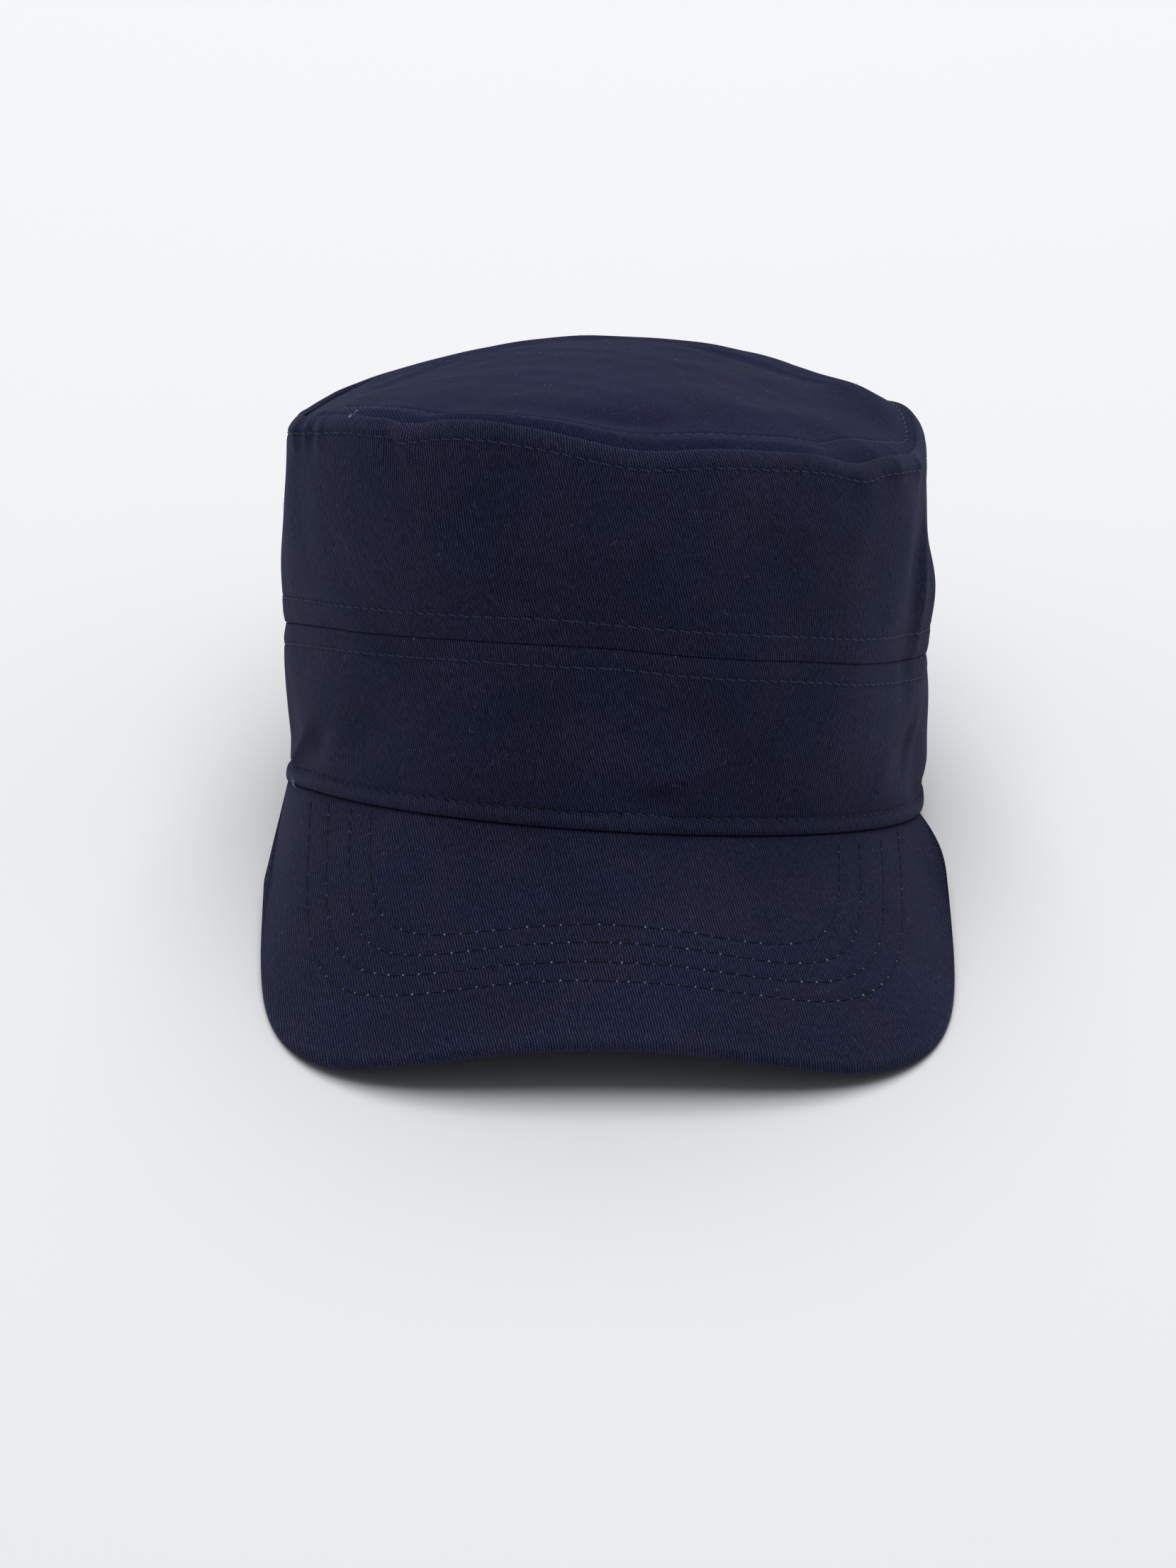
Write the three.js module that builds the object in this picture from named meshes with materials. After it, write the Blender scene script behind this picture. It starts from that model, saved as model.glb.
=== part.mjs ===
// A soft cotton twill cadet cap, standing on a table as it does when it is taken off: the back and sides of its rim
// lie on the surface, and the stiff peak props the front up. The crown is a tube of two sewn bands, a low one and a
// taller one, closed by a flat oval top. The head goes in from below, and the hollow is open.
//
// Millimetres, +Z up. The peak points to -Y. The cap's wearer has the left hand at +X.
import * as THREE from "three";

// Driving sizes of the crown, measured on the outside of the cloth
const CROWN_WIDTH = 174;
const CROWN_LENGTH = 197;
const BAND_HEIGHT = { front: 47.5, side: 40.5, back: 39 };
const WALL_HEIGHT = { front: 54.5, side: 54, back: 53 };
const CLOTH = 1.6;
const SEAM_GAP = 0.3;

// How the crown stands: the peak lifts the front of its rim, and the whole tube leans back. The rise starts at
// LIFT_START, as a share of the way from the sides to the front. Higher up it is softer and starts further back.
const RIM_LIFT = 42;
const LIFT_START = -0.15;
const LIFT_EASE = 0.15;
const LIFT_BACK = 0.25;
const CROWN_LEAN = THREE.MathUtils.degToRad(17);
const CROWN_TURN = THREE.MathUtils.degToRad(-3);
const CROWN_ROLL = THREE.MathUtils.degToRad(2.7);

// Relief of the cloth: how far the bands swell between their seams, and how the seams pull in
const BAND_SWELL = 1.2;
const WALL_SWELL = 2.6;
const SEAM_PULL = 0.7;
const SEAM_REACH = 2.2;
const TOP_FOLD = 7;
const TOP_FOLD_IN = 2.8;
const FOLD_DEPTH = 3;
const EDGE_SAG = 6;

// The oval top: its edge lies just inside the wall's folded edge
const TOP_DOME = 7;
const TOP_STEP = 1.2;
const TOP_RIDGE = 2;
const RIDGE_REACH = 9;

// The peak. Its front is arched between two corners that touch the table, and its sides rise a little to the rim.
// It lies a little askew, as it does when the cap is set down: its front edge is PEAK_DRIFT nearer +X than its
// sides are, and the top of its arch is ARCH_SHIFT nearer -X.
const PEAK_WIDTH = 182.5;
const PEAK_REACH = 57.5;
const PEAK_THICKNESS = 3.2;
const PEAK_ARCH = 15.2;
const PEAK_CORNER = 0.85;
const PEAK_SIDE_RISE = 4.4;
const PEAK_ROOT_END = 0.1;
const PEAK_SQUARENESS = 4.1;
const PEAK_BOW_START = 55;
const PEAK_DRIFT = 1.8;
const ARCH_SHIFT = 3.6;

// Facets
const AROUND = 80;
const BAND_ROWS = [0, 0.04, 0.14, 0.28, 0.42, 0.56, 0.7, 0.84, 0.95, 1];
const WALL_ROWS = [0, 0.04, 0.13, 0.24, 0.36, 0.48, 0.6, 0.72, 0.82, 0.89, 0.95, 1];
const INNER_STEP = 2;
const TOP_RINGS = [0.12, 0.26, 0.4, 0.54, 0.68, 0.8, 0.88, 0.94, 0.975, 1];
const PEAK_COLUMNS = 56;
const PEAK_ROWS = 9;
const EDGE_STEPS = 4;

// Dents and folds of the two bands. angle: where it is, in degrees round the crown, 0 at +X and 90 at the front.
// level: 0 at the rim, 1 at the seam between the bands, 2 at the top. wide: degrees to its flanks.
// tall: levels to its ends. slant: degrees that it moves for each level up. out: share of FOLD_DEPTH, inwards if
// it is below 0.
const FOLDS = [
  { angle: 82, level: 0.22, wide: 6, tall: 0.3, slant: -4, out: -0.55 },
  { angle: 72, level: 0.25, wide: 6, tall: 0.35, slant: -8, out: 0.4 },
  { angle: 160, level: 0.35, wide: 7, tall: 0.3, slant: 14, out: -0.5 },
  { angle: 175, level: 0.25, wide: 10, tall: 0.35, slant: 12, out: -0.6 },
  { angle: 14, level: 0.45, wide: 7, tall: 0.22, slant: -10, out: -0.7 },
  { angle: 4, level: 0.28, wide: 6, tall: 0.16, slant: 0, out: 0.4 },
  { angle: 2, level: 1.35, wide: 8, tall: 0.3, slant: -8, out: 0.25 },
  { angle: 358, level: 1.6, wide: 12, tall: 0.25, slant: 0, out: -0.9 },
  { angle: 13, level: 1.45, wide: 5, tall: 0.4, slant: -8, out: -0.5 },
  { angle: 178, level: 1.62, wide: 14, tall: 0.42, slant: 0, out: -0.85 },
  { angle: 95, level: 1.6, wide: 26, tall: 0.3, slant: 20, out: -0.45 },
  { angle: 215, level: 0.55, wide: 12, tall: 0.28, slant: 20, out: -0.6 },
  { angle: 236, level: 0.95, wide: 16, tall: 0.35, slant: 16, out: 0.5 },
  { angle: 262, level: 0.6, wide: 15, tall: 0.24, slant: -10, out: -0.75 },
  { angle: 292, level: 1.3, wide: 13, tall: 0.4, slant: -18, out: -0.55 },
  { angle: 322, level: 0.65, wide: 13, tall: 0.3, slant: -16, out: -0.6 },
];

// Where the top edge has sunk or risen. angle and wide are degrees round the crown, drop is a share of EDGE_SAG.
const EDGE_SAGS = [
  { angle: 2, wide: 8, drop: 0.22 },
  { angle: 37, wide: 7, drop: 0.4 },
  { angle: 57, wide: 14, drop: 0.14 },
  { angle: 80, wide: 11, drop: 0.5 },
  { angle: 110, wide: 16, drop: -0.25 },
  { angle: 122, wide: 4, drop: 0.16 },
  { angle: 137, wide: 9, drop: -0.22 },
  { angle: 175, wide: 12, drop: 0.1 },
  { angle: 210, wide: 18, drop: -0.5 },
  { angle: 276, wide: 14, drop: 0.3 },
  { angle: 343, wide: 14, drop: -0.85 },
];

// The shortest way from angle b to angle a, in degrees
const turnBetween = (a, b) => ((((a - b) % 360) + 540) % 360) - 180;

// 1 in the middle of a hump, falling smoothly to 0 past its flanks
const hump = (distance, reach) => Math.exp(-((distance / reach) ** 2));

// A height that is given at the front, sides and back, at forward = 1, 0 and -1
function heightAt(heights, forward) {
  const slope = (heights.front - heights.back) / 2;
  const curve = (heights.front + heights.back) / 2 - heights.side;
  return heights.side + slope * forward + curve * forward * forward;
}

// How far the rim is off the table: nothing at the back, an almost straight rise to RIM_LIFT at the front
function rimLift(forward, level) {
  const start = LIFT_START - LIFT_BACK * level;
  const ease = LIFT_EASE * (1 + 2 * level);
  const share = Math.max(0, (forward - start) / (1 - start));
  return ((RIM_LIFT * share * share) / (share + ease)) * (1 + ease);
}

// A point of the oval rim, seen from above and turned a little on the table
function rimPlan(angle) {
  const x = (CROWN_WIDTH / 2) * Math.cos(angle);
  const y = (-CROWN_LENGTH / 2) * Math.sin(angle);
  return new THREE.Vector2(x, y).rotateAround(new THREE.Vector2(), CROWN_TURN);
}

// The level direction that points out of the oval at an angle
function outward(angle) {
  const x = Math.cos(angle) / CROWN_WIDTH;
  const y = -Math.sin(angle) / CROWN_LENGTH;
  const flat = new THREE.Vector2(x, y).normalize().rotateAround(new THREE.Vector2(), CROWN_TURN);
  return new THREE.Vector3(flat.x, flat.y, 0);
}

// The rim's own line, with the side at -X a little higher than the other. level is how far up its lift acts.
function rimPoint(angle, level = 0) {
  const plan = rimPlan(angle);
  const forward = Math.sin(angle);
  const frontShare = THREE.MathUtils.clamp((forward + 0.6) / 1.2, 0, 1);
  const roll = Math.tan(CROWN_ROLL) * (CROWN_WIDTH / 2 - plan.x) * THREE.MathUtils.smoothstep(frontShare, 0, 1);
  return new THREE.Vector3(plan.x, plan.y, rimLift(forward, level) + roll);
}

// How far a fold or dent moves the cloth out at an angle and level
function foldRelief(angle, level) {
  const degrees = THREE.MathUtils.radToDeg(angle);
  return FOLDS.reduce((sum, fold) => {
    const centre = fold.angle + fold.slant * (level - fold.level);
    const across = hump(turnBetween(degrees, centre), fold.wide);
    const along = hump(level - fold.level, fold.tall);
    return sum + FOLD_DEPTH * fold.out * across * along;
  }, 0);
}

function edgeSag(angle) {
  const degrees = THREE.MathUtils.radToDeg(angle);
  return EDGE_SAGS.reduce(
    (sum, sag) => sum + EDGE_SAG * sag.drop * hump(turnBetween(degrees, sag.angle), sag.wide),
    0,
  );
}

// The crown's outer face. level runs from 0 at the rim, past 1 at the seam between the bands, to 2 at the top edge.
// sagging is 0 for the same tube with its top edge unsunk.
function crownFace(angle, level, sagging = 1) {
  const forward = Math.sin(angle);
  const band = heightAt(BAND_HEIGHT, forward);
  const wall = heightAt(WALL_HEIGHT, forward);
  const inBand = Math.min(level, 1);
  const inWall = Math.max(level - 1, 0);
  const climb = inBand * band + inWall * wall;
  const swell = level < 1 ? BAND_SWELL * Math.sin(Math.PI * inBand) : WALL_SWELL * Math.sin(Math.PI * inWall);
  const seams = hump(climb - band, SEAM_REACH) + hump(band + wall - climb, SEAM_REACH);
  const foldShare = Math.max(0, 1 - (band + wall - climb) / TOP_FOLD);
  const out = swell - SEAM_PULL * seams - TOP_FOLD_IN * foldShare ** 2 + foldRelief(angle, level);
  const sunk = sagging * edgeSag(angle) * hump(2 - level, 0.55);
  const held = Math.min(1, climb / SEAM_REACH / 4);
  return rimPoint(angle, level)
    .add(new THREE.Vector3(0, Math.sin(CROWN_LEAN), Math.cos(CROWN_LEAN)).multiplyScalar(climb - sunk))
    .addScaledVector(outward(angle), out * held);
}

// The direction that points out of a face, from two short steps along it
function faceNormal(face, a, b, stepA, stepB) {
  const alongA = face(a + stepA, b).sub(face(a - stepA, b));
  const alongB = face(a, b + stepB).sub(face(a, b - stepB));
  return alongA.cross(alongB).normalize();
}

// The inner face of a band's cloth
function crownInside(angle, level) {
  const point = crownFace(angle, level);
  const normal = faceNormal(crownFace, angle, level, 0.02, 0.01);
  if (normal.dot(outward(angle)) < 0) normal.negate();
  return point.addScaledVector(normal, -CLOTH);
}

// Triangles between neighbouring columns of points, where each column is a closed loop
function loopIndex(columnCount, loop, joined) {
  const index = [];
  for (let i = 0; i < (joined ? columnCount : columnCount - 1); i += 1) {
    const next = (i + 1) % columnCount;
    for (let j = 0; j < loop; j += 1) {
      const up = (j + 1) % loop;
      const [a, b, c, d] = [i * loop + j, next * loop + j, next * loop + up, i * loop + up];
      index.push(a, c, b, a, d, c);
    }
  }
  return index;
}

// The lower band and the wall above it: a loop up the outer face and down the inner one, at each angle
function bandGeometry(rows, firstLevel, bottomGap, topGap) {
  const columns = Array.from({ length: AROUND }, (_, i) => {
    const angle = (i / AROUND) * 2 * Math.PI;
    const height = heightAt(firstLevel ? WALL_HEIGHT : BAND_HEIGHT, Math.sin(angle));
    const levels = rows.map((row) =>
      firstLevel + THREE.MathUtils.clamp(row, bottomGap / height, 1 - topGap / height));
    const outer = levels.map((level) => crownFace(angle, level));
    const kept = levels.filter((_, j) => j % INNER_STEP === 0 || j === levels.length - 1);
    const inner = kept.map((level) => crownInside(angle, level));
    if (!firstLevel) inner[0].copy(outer[0]).addScaledVector(outward(angle), -CLOTH);
    return [...outer, ...inner.reverse()];
  });
  return new THREE.BufferGeometry()
    .setFromPoints(columns.flat())
    .setIndex(loopIndex(AROUND, columns[0].length, true));
}

// The top's edge at an angle, against the inside of the wall's folded edge
function topEdge(angle, sagging) {
  const reach = CLOTH + SEAM_GAP + TOP_STEP * Math.sin(CROWN_LEAN);
  return crownFace(angle, 2, sagging)
    .addScaledVector(outward(angle), -reach)
    .add(new THREE.Vector3(0, 0, -TOP_STEP));
}

const TOP_FRONT = topEdge(Math.PI / 2, 0);
const TOP_BACK = topEdge(-Math.PI / 2, 0);
const TOP_CENTRE = TOP_FRONT.clone().add(TOP_BACK).multiplyScalar(0.5);
const TOP_SLOPE = (TOP_FRONT.z - TOP_BACK.z) / (TOP_FRONT.y - TOP_BACK.y);

// The oval top's upper face, from its centre at share 0 to its edge at share 1. It is domed, and at the back it has
// a low ridge inside its edge, where the seam's layers prop it up.
function topFace(angle, share) {
  const level = topEdge(angle, 0);
  const sunk = topEdge(angle, 1).sub(level);
  const offPlane = level.z - TOP_CENTRE.z - TOP_SLOPE * (level.y - TOP_CENTRE.y);
  const fromEdge = (1 - share) * level.distanceTo(TOP_CENTRE);
  const behind = 0.5 - 0.5 * Math.sin(angle);
  const ridge = TOP_RIDGE * behind * hump(fromEdge - RIDGE_REACH / 2, RIDGE_REACH / 2);
  const point = TOP_CENTRE.clone().lerp(level, share).addScaledVector(sunk, share ** 5);
  point.z += TOP_DOME * (1 - share ** 3) + offPlane * (share * share - share) + ridge;
  return point;
}

// A dish of cloth closed at its centre: rings of the upper face, then the same rings of the lower one
function topGeometry() {
  const down = new THREE.Vector3(0, 0, -CLOTH);
  const angles = Array.from({ length: AROUND }, (_, i) => (i / AROUND) * 2 * Math.PI);
  const upper = TOP_RINGS.map((share) => angles.map((angle) => topFace(angle, share)));
  const lower = upper.map((ring) => ring.map((point) => point.clone().add(down)));
  const rings = [...upper, ...lower.reverse()];
  const top = topFace(0, 0);
  const points = [...rings.flat(), top, top.clone().add(down)];
  const index = [];
  for (let ring = 0; ring + 1 < rings.length; ring += 1) {
    for (let i = 0; i < AROUND; i += 1) {
      const next = (i + 1) % AROUND;
      const [a, b] = [ring * AROUND + i, ring * AROUND + next];
      index.push(a, b + AROUND, a + AROUND, a, b, b + AROUND);
    }
  }
  const last = (rings.length - 1) * AROUND;
  for (let i = 0; i < AROUND; i += 1) {
    const next = (i + 1) % AROUND;
    index.push(rings.length * AROUND, next, i);
    index.push(rings.length * AROUND + 1, last + i, last + next);
  }
  return new THREE.BufferGeometry().setFromPoints(points).setIndex(index);
}

// The peak's root, where it is sewn under the rim. along runs from -1 at -X to 1 at +X, inset goes under the band.
function peakRoot(along, inset) {
  const end = Math.asin(PEAK_ROOT_END);
  const angle = Math.PI / 2 - along * (Math.PI / 2 - end);
  return rimPoint(angle)
    .addScaledVector(outward(angle), -inset)
    .add(new THREE.Vector3(0, 0, -SEAM_GAP));
}

// The peak's outer edge before it is set down: a rounded D, seen from above, with an arched front
function raisedEdge(along) {
  const front = CROWN_LENGTH / 2 + PEAK_REACH;
  const angle = ((along + 1) / 2) * Math.PI;
  const across = -Math.cos(angle);
  const power = 2 / PEAK_SQUARENESS;
  const ahead = Math.sin(angle) ** power;
  const x = (PEAK_WIDTH / 2) * Math.sign(across) * Math.abs(across) ** power;
  const y = -PEAK_BOW_START - (front - PEAK_BOW_START) * ahead;
  const fromArch = Math.abs(x + ARCH_SHIFT * (1 - ((2 * x) / PEAK_WIDTH) ** 2));
  const toCorner = fromArch / (PEAK_CORNER * (PEAK_WIDTH / 2));
  const arched = 1 - toCorner ** 2 / (1 + toCorner ** 8) ** 0.25;
  const back = (front + y) / (front - PEAK_BOW_START);
  const z = PEAK_THICKNESS + PEAK_ARCH * arched + PEAK_SIDE_RISE * back ** 3;
  return new THREE.Vector3(x + PEAK_DRIFT * ahead, y, z);
}

// How far the edge is set down, so that the corners' undersides touch the table
const PEAK_SETTLE = Math.min(
  ...Array.from({ length: 101 }, (_, i) => {
    const edge = raisedEdge(-1 + i / 50);
    const root = peakRoot(-1 + i / 50, 0);
    const turned = PEAK_THICKNESS / 2 / edge.distanceTo(root);
    return edge.lerp(root, turned).z - PEAK_THICKNESS;
  }),
);

// The peak's upper face, ruled from the root at share 0 to the edge at share 1
function peakFace(along, share) {
  const edge = raisedEdge(along);
  edge.z -= PEAK_SETTLE;
  return peakRoot(along, 0).lerp(edge, share);
}

// A slab with a half-round outer edge
function peakGeometry() {
  const columns = Array.from({ length: PEAK_COLUMNS + 1 }, (_, i) => {
    const along = -1 + (2 * i) / PEAK_COLUMNS;
    const half = PEAK_THICKNESS / 2;
    const round = half / peakFace(along, 1).distanceTo(peakFace(along, 0));
    const upper = [peakRoot(along, CLOTH)];
    for (let row = 0; row < PEAK_ROWS; row += 1) upper.push(peakFace(along, (row / PEAK_ROWS) * (1 - round)));
    const edge = Array.from({ length: EDGE_STEPS + 1 }, (_, step) => {
      const turned = Math.PI * (0.5 - step / EDGE_STEPS);
      const point = peakFace(along, 1 - round * (1 - Math.cos(turned)));
      point.z += half * (Math.sin(turned) - 1);
      return point;
    });
    const lower = upper.map((point) => point.clone().add(new THREE.Vector3(0, 0, -PEAK_THICKNESS)));
    return [...upper, ...edge, ...lower.reverse()];
  });
  const loop = columns[0].length;
  const index = loopIndex(columns.length, loop, false);
  const last = PEAK_COLUMNS * loop;
  for (let j = 0; j + 1 < loop / 2; j += 1) {
    const [low, high, farHigh, farLow] = [j, j + 1, loop - 2 - j, loop - 1 - j];
    if (farHigh > high) {
      index.push(low, farHigh, high);
      index.push(last + low, last + high, last + farHigh);
    }
    index.push(low, farLow, farHigh);
    index.push(last + low, last + farHigh, last + farLow);
  }
  return new THREE.BufferGeometry().setFromPoints(columns.flat()).setIndex(index);
}

function twill(color) {
  return new THREE.MeshStandardMaterial({ color, roughness: 0.92, metalness: 0 });
}

function piece(name, geometry, color) {
  const mesh = new THREE.Mesh(geometry, twill(color));
  mesh.name = name;
  geometry.computeVertexNormals();
  return mesh;
}

const NAVY = 0x1f2136;
const PEAK_NAVY = 0x22243a;

const cap = new THREE.Group();
cap.add(piece("lower_band", bandGeometry(BAND_ROWS, 0, 0, SEAM_GAP / 2), NAVY));
cap.add(piece("upper_wall", bandGeometry(WALL_ROWS, 1, SEAM_GAP / 2, 0), NAVY));
cap.add(piece("top_panel", topGeometry(), NAVY));
cap.add(piece("peak", peakGeometry(), PEAK_NAVY));

// The cap's own origin is under the middle of its outline, on the table
const outline = new THREE.Box3().setFromObject(cap);
const middle = outline.getCenter(new THREE.Vector3());
cap.position.set(-middle.x, -middle.y, -outline.min.z);

export default cap;
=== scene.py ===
"""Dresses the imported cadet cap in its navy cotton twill, on a pale floor in soft light.

Shapes are worked out in millimetres, in the cap's own frame: the middle of its oval rim is at the origin and the
table is at z = 0. A mesh is in metres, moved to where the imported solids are.
"""

import bmesh
import bpy
import numpy as np
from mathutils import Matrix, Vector


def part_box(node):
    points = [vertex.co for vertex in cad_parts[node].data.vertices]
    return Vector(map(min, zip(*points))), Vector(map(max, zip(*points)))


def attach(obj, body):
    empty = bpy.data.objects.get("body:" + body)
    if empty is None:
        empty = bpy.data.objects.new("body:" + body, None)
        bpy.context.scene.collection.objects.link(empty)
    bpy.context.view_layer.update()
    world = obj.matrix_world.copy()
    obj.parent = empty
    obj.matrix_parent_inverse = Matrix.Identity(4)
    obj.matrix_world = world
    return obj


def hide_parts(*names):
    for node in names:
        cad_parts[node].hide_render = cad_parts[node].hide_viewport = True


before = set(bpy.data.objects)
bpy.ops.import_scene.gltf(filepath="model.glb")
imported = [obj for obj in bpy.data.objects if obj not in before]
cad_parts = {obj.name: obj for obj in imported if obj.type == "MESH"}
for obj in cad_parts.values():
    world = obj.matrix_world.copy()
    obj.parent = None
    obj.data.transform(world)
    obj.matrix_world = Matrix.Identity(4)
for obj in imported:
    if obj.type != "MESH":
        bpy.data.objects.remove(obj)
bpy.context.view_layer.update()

# The lower band. A strip of cotton twill round the head, sewn to the wall above it. Its bottom edge is turned up and
# stitched, so it stands out as a soft roll over the peak's seam.
CROWN_WIDTH = 174
CROWN_LENGTH = 197
BAND_HEIGHT = {"front": 47.5, "side": 40.5, "back": 39}
WALL_HEIGHT = {"front": 54.5, "side": 54, "back": 53}
CLOTH = 1.6
SEAM_GAP = 0.3

RIM_LIFT = 42
LIFT_START = -0.15
LIFT_EASE = 0.15
LIFT_BACK = 0.25
CROWN_LEAN = np.radians(17)
CROWN_TURN = np.radians(-3)
CROWN_ROLL = np.radians(2.7)
UP_THE_CROWN = np.array([0, np.sin(CROWN_LEAN), np.cos(CROWN_LEAN)])

BAND_SWELL = 1.2
WALL_SWELL = 2.6
SEAM_PULL = 0.7
SEAM_REACH = 2.2
TOP_FOLD = 7
TOP_FOLD_IN = 2.8
FOLD_DEPTH = 3
EDGE_SAG = 6
SAG_REACH = 0.55
HELD_BY_RIM = 4
ROLL_EASE = 0.6

# The same dents and folds as in the solids. A row gives the angle in degrees, 0 at +X and 90 at the front; the level,
# 0 at the rim, 1 at the seam between the bands and 2 at the top; how wide it is in degrees and how tall in levels;
# how many degrees it slants in one level; and how far out it goes, as a share of FOLD_DEPTH.
FOLDS = [
    (82, 0.22, 6, 0.3, -4, -0.55),
    (72, 0.25, 6, 0.35, -8, 0.4),
    (160, 0.35, 7, 0.3, 14, -0.5),
    (175, 0.25, 10, 0.35, 12, -0.6),
    (14, 0.45, 7, 0.22, -10, -0.7),
    (4, 0.28, 6, 0.16, 0, 0.4),
    (2, 1.35, 8, 0.3, -8, 0.25),
    (358, 1.6, 12, 0.25, 0, -0.9),
    (13, 1.45, 5, 0.4, -8, -0.5),
    (178, 1.62, 14, 0.42, 0, -0.85),
    (95, 1.6, 26, 0.3, 20, -0.45),
    (215, 0.55, 12, 0.28, 20, -0.6),
    (236, 0.95, 16, 0.35, 16, 0.5),
    (262, 0.6, 15, 0.24, -10, -0.75),
    (292, 1.3, 13, 0.4, -18, -0.55),
    (322, 0.65, 13, 0.3, -16, -0.6),
]

# Sharper creases than the solids have, in the same columns, with how far out they go in millimetres
CREASES = [
    (77.5, 0.19, 3.2, 0.1, -26, -3.0),
    (74, 0.31, 3.4, 0.11, -26, 1.9),
    (8, 0.17, 6, 0.1, 0, -1.7),
    (168, 0.3, 6, 0.2, 0, -1.2),
    (160, 0.2, 2.2, 0.15, -40, 1.3),
    (149, 0.3, 5, 0.15, -20, -2.3),
    (134, 0.36, 7, 0.15, -20, -1.9),
    (150, 1.6, 5, 0.4, 4, -0.7),
    (158, 1.45, 5, 0.5, 2, 0.5),
    (13, 0.5, 2.6, 0.2, -22, 1.0),
    (19, 0.42, 5, 0.16, -22, -0.9),
    (11.5, 1.4, 1.5, 0.32, -7, 1.3),
    (17, 1.4, 3.4, 0.3, -7, -1.2),
    (6.5, 1.42, 2, 0.24, -6, -0.7),
    (3, 1.26, 4, 0.14, -14, 0.3),
    (355, 2.02, 24, 0.12, 0, 1.9),
    (184, 2.02, 16, 0.12, 0, 1.0),
    (17, 1.95, 1.4, 0.1, 4, 0.8),
    (156, 1.94, 1.4, 0.09, 6, 1.4),
    (151, 1.94, 1.3, 0.08, 6, 1.2),
    (146, 1.93, 1.6, 0.1, 10, 1.0),
    (127, 1.9, 2.2, 0.11, 24, -1.2),
    (123.5, 1.92, 1.5, 0.11, 24, 1.1),
    (36, 1.93, 3, 0.08, 0, 0.9),
    (26, 1.95, 1.6, 0.08, 0, 0.7),
    (200, 0.5, 2.5, 0.3, 30, 0.8),
    (226, 0.6, 3, 0.26, 24, 0.9),
    (272, 0.62, 4, 0.2, -40, 0.8),
    (301, 1.28, 3, 0.3, -24, 0.8),
    (334, 0.6, 2.6, 0.26, -24, 0.8),
]

# Where the top edge has sunk or risen: the angle, how wide it is and how far down, as a share of EDGE_SAG
EDGE_SAGS = [
    (2, 8, 0.22),
    (37, 7, 0.4),
    (57, 14, 0.14),
    (80, 11, 0.5),
    (110, 16, -0.25),
    (122, 4, 0.16),
    (137, 9, -0.22),
    (175, 12, 0.1),
    (210, 18, -0.5),
    (276, 14, 0.3),
    (343, 14, -0.85),
]

# The sewn seams: how far each row of stitches lies from its edge or seam, and the relief that sewing gives the
# cloth. A pair is where something starts and where it is complete.
HEM = 4.2
HEM_ROLL = 0.75
STITCHES_BELOW = 5.3
STITCHES_ABOVE = 6.7
STITCHES_FROM_TOP = 4.4
STRIP_PROUD = 0.22
LAP_PROUD = 0.3
GROOVE_DEPTH = 0.3
GROOVE_REACH = 0.55
HEM_GROOVE = 2.4
ROW_STEP = (-0.4, 0.5)
LAP_STEP = 0.02
LAP_FADE = (1, 5)
SEAM_CREST = 0.45
PUCKER = 0.035
PUCKER_REACH = 4
EDGE_STAND = 1.4
STAND_RISE = (-6, -0.5)
IN_FRONT = (0.05, 0.4)
CREASES_START = (0.03, 0.15)
SLACK = 0.85
SLACK_START = (0, 0.3)
SLACK_LENGTH = 46
RUMPLE = 0.2
RUMPLE_LENGTH = 17

# How far to each side a face's slopes are taken, in radians round the crown and in levels up it
TURN_STEP, LEVEL_STEP = 0.004, 0.01


def hump(distance, reach):
    """1 at no distance, falling to 0 as exp(-(distance / reach) squared)."""
    return np.exp(-((distance / reach) ** 2))


def ramp(value, start, end):
    """0 before start, 1 after end, and a smooth cubic between them."""
    share = np.clip((value - start) / (end - start), 0, 1)
    return share * share * (3 - 2 * share)


def turn_between(a, b):
    """The shortest way from angle b to angle a, in degrees."""
    return (a - b + 540) % 360 - 180


def height_at(heights, forward):
    """The parabola through the heights at the front, sides and back, where forward is 1, 0 and -1."""
    slope = (heights["front"] - heights["back"]) / 2
    curve = (heights["front"] + heights["back"]) / 2 - heights["side"]
    return heights["side"] + slope * forward + curve * forward**2


def turned(x, y, angle):
    """The point (x, y) turned about the origin."""
    return x * np.cos(angle) - y * np.sin(angle), x * np.sin(angle) + y * np.cos(angle)


def outward(angle):
    """The level direction out of the rim's oval: its gradient (cos / width, -sin / length), made one long."""
    x, y = np.cos(angle) / CROWN_WIDTH, -np.sin(angle) / CROWN_LENGTH
    length = np.hypot(x, y)
    x, y = turned(x / length, y / length, CROWN_TURN)
    return np.stack([x, y, np.zeros_like(x)], axis=-1)


def rim_lift(forward, level):
    """How far the peak lifts the rim: share squared / (share + ease), which starts gently and then runs straight."""
    start = LIFT_START - LIFT_BACK * level
    ease = LIFT_EASE * (1 + 2 * level)
    share = np.maximum(0, (forward - start) / (1 - start))
    return RIM_LIFT * share**2 / (share + ease) * (1 + ease)


def rim_point(angle, level):
    """An oval turned by CROWN_TURN, lifted towards the front, and rolled up towards -X in its front half."""
    x, y = turned(CROWN_WIDTH / 2 * np.cos(angle), -CROWN_LENGTH / 2 * np.sin(angle), CROWN_TURN)
    forward = np.sin(angle)
    roll = np.tan(CROWN_ROLL) * (CROWN_WIDTH / 2 - x) * ramp(forward, -ROLL_EASE, ROLL_EASE)
    return np.stack([x, y, rim_lift(forward, level) + roll], axis=-1)


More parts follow.
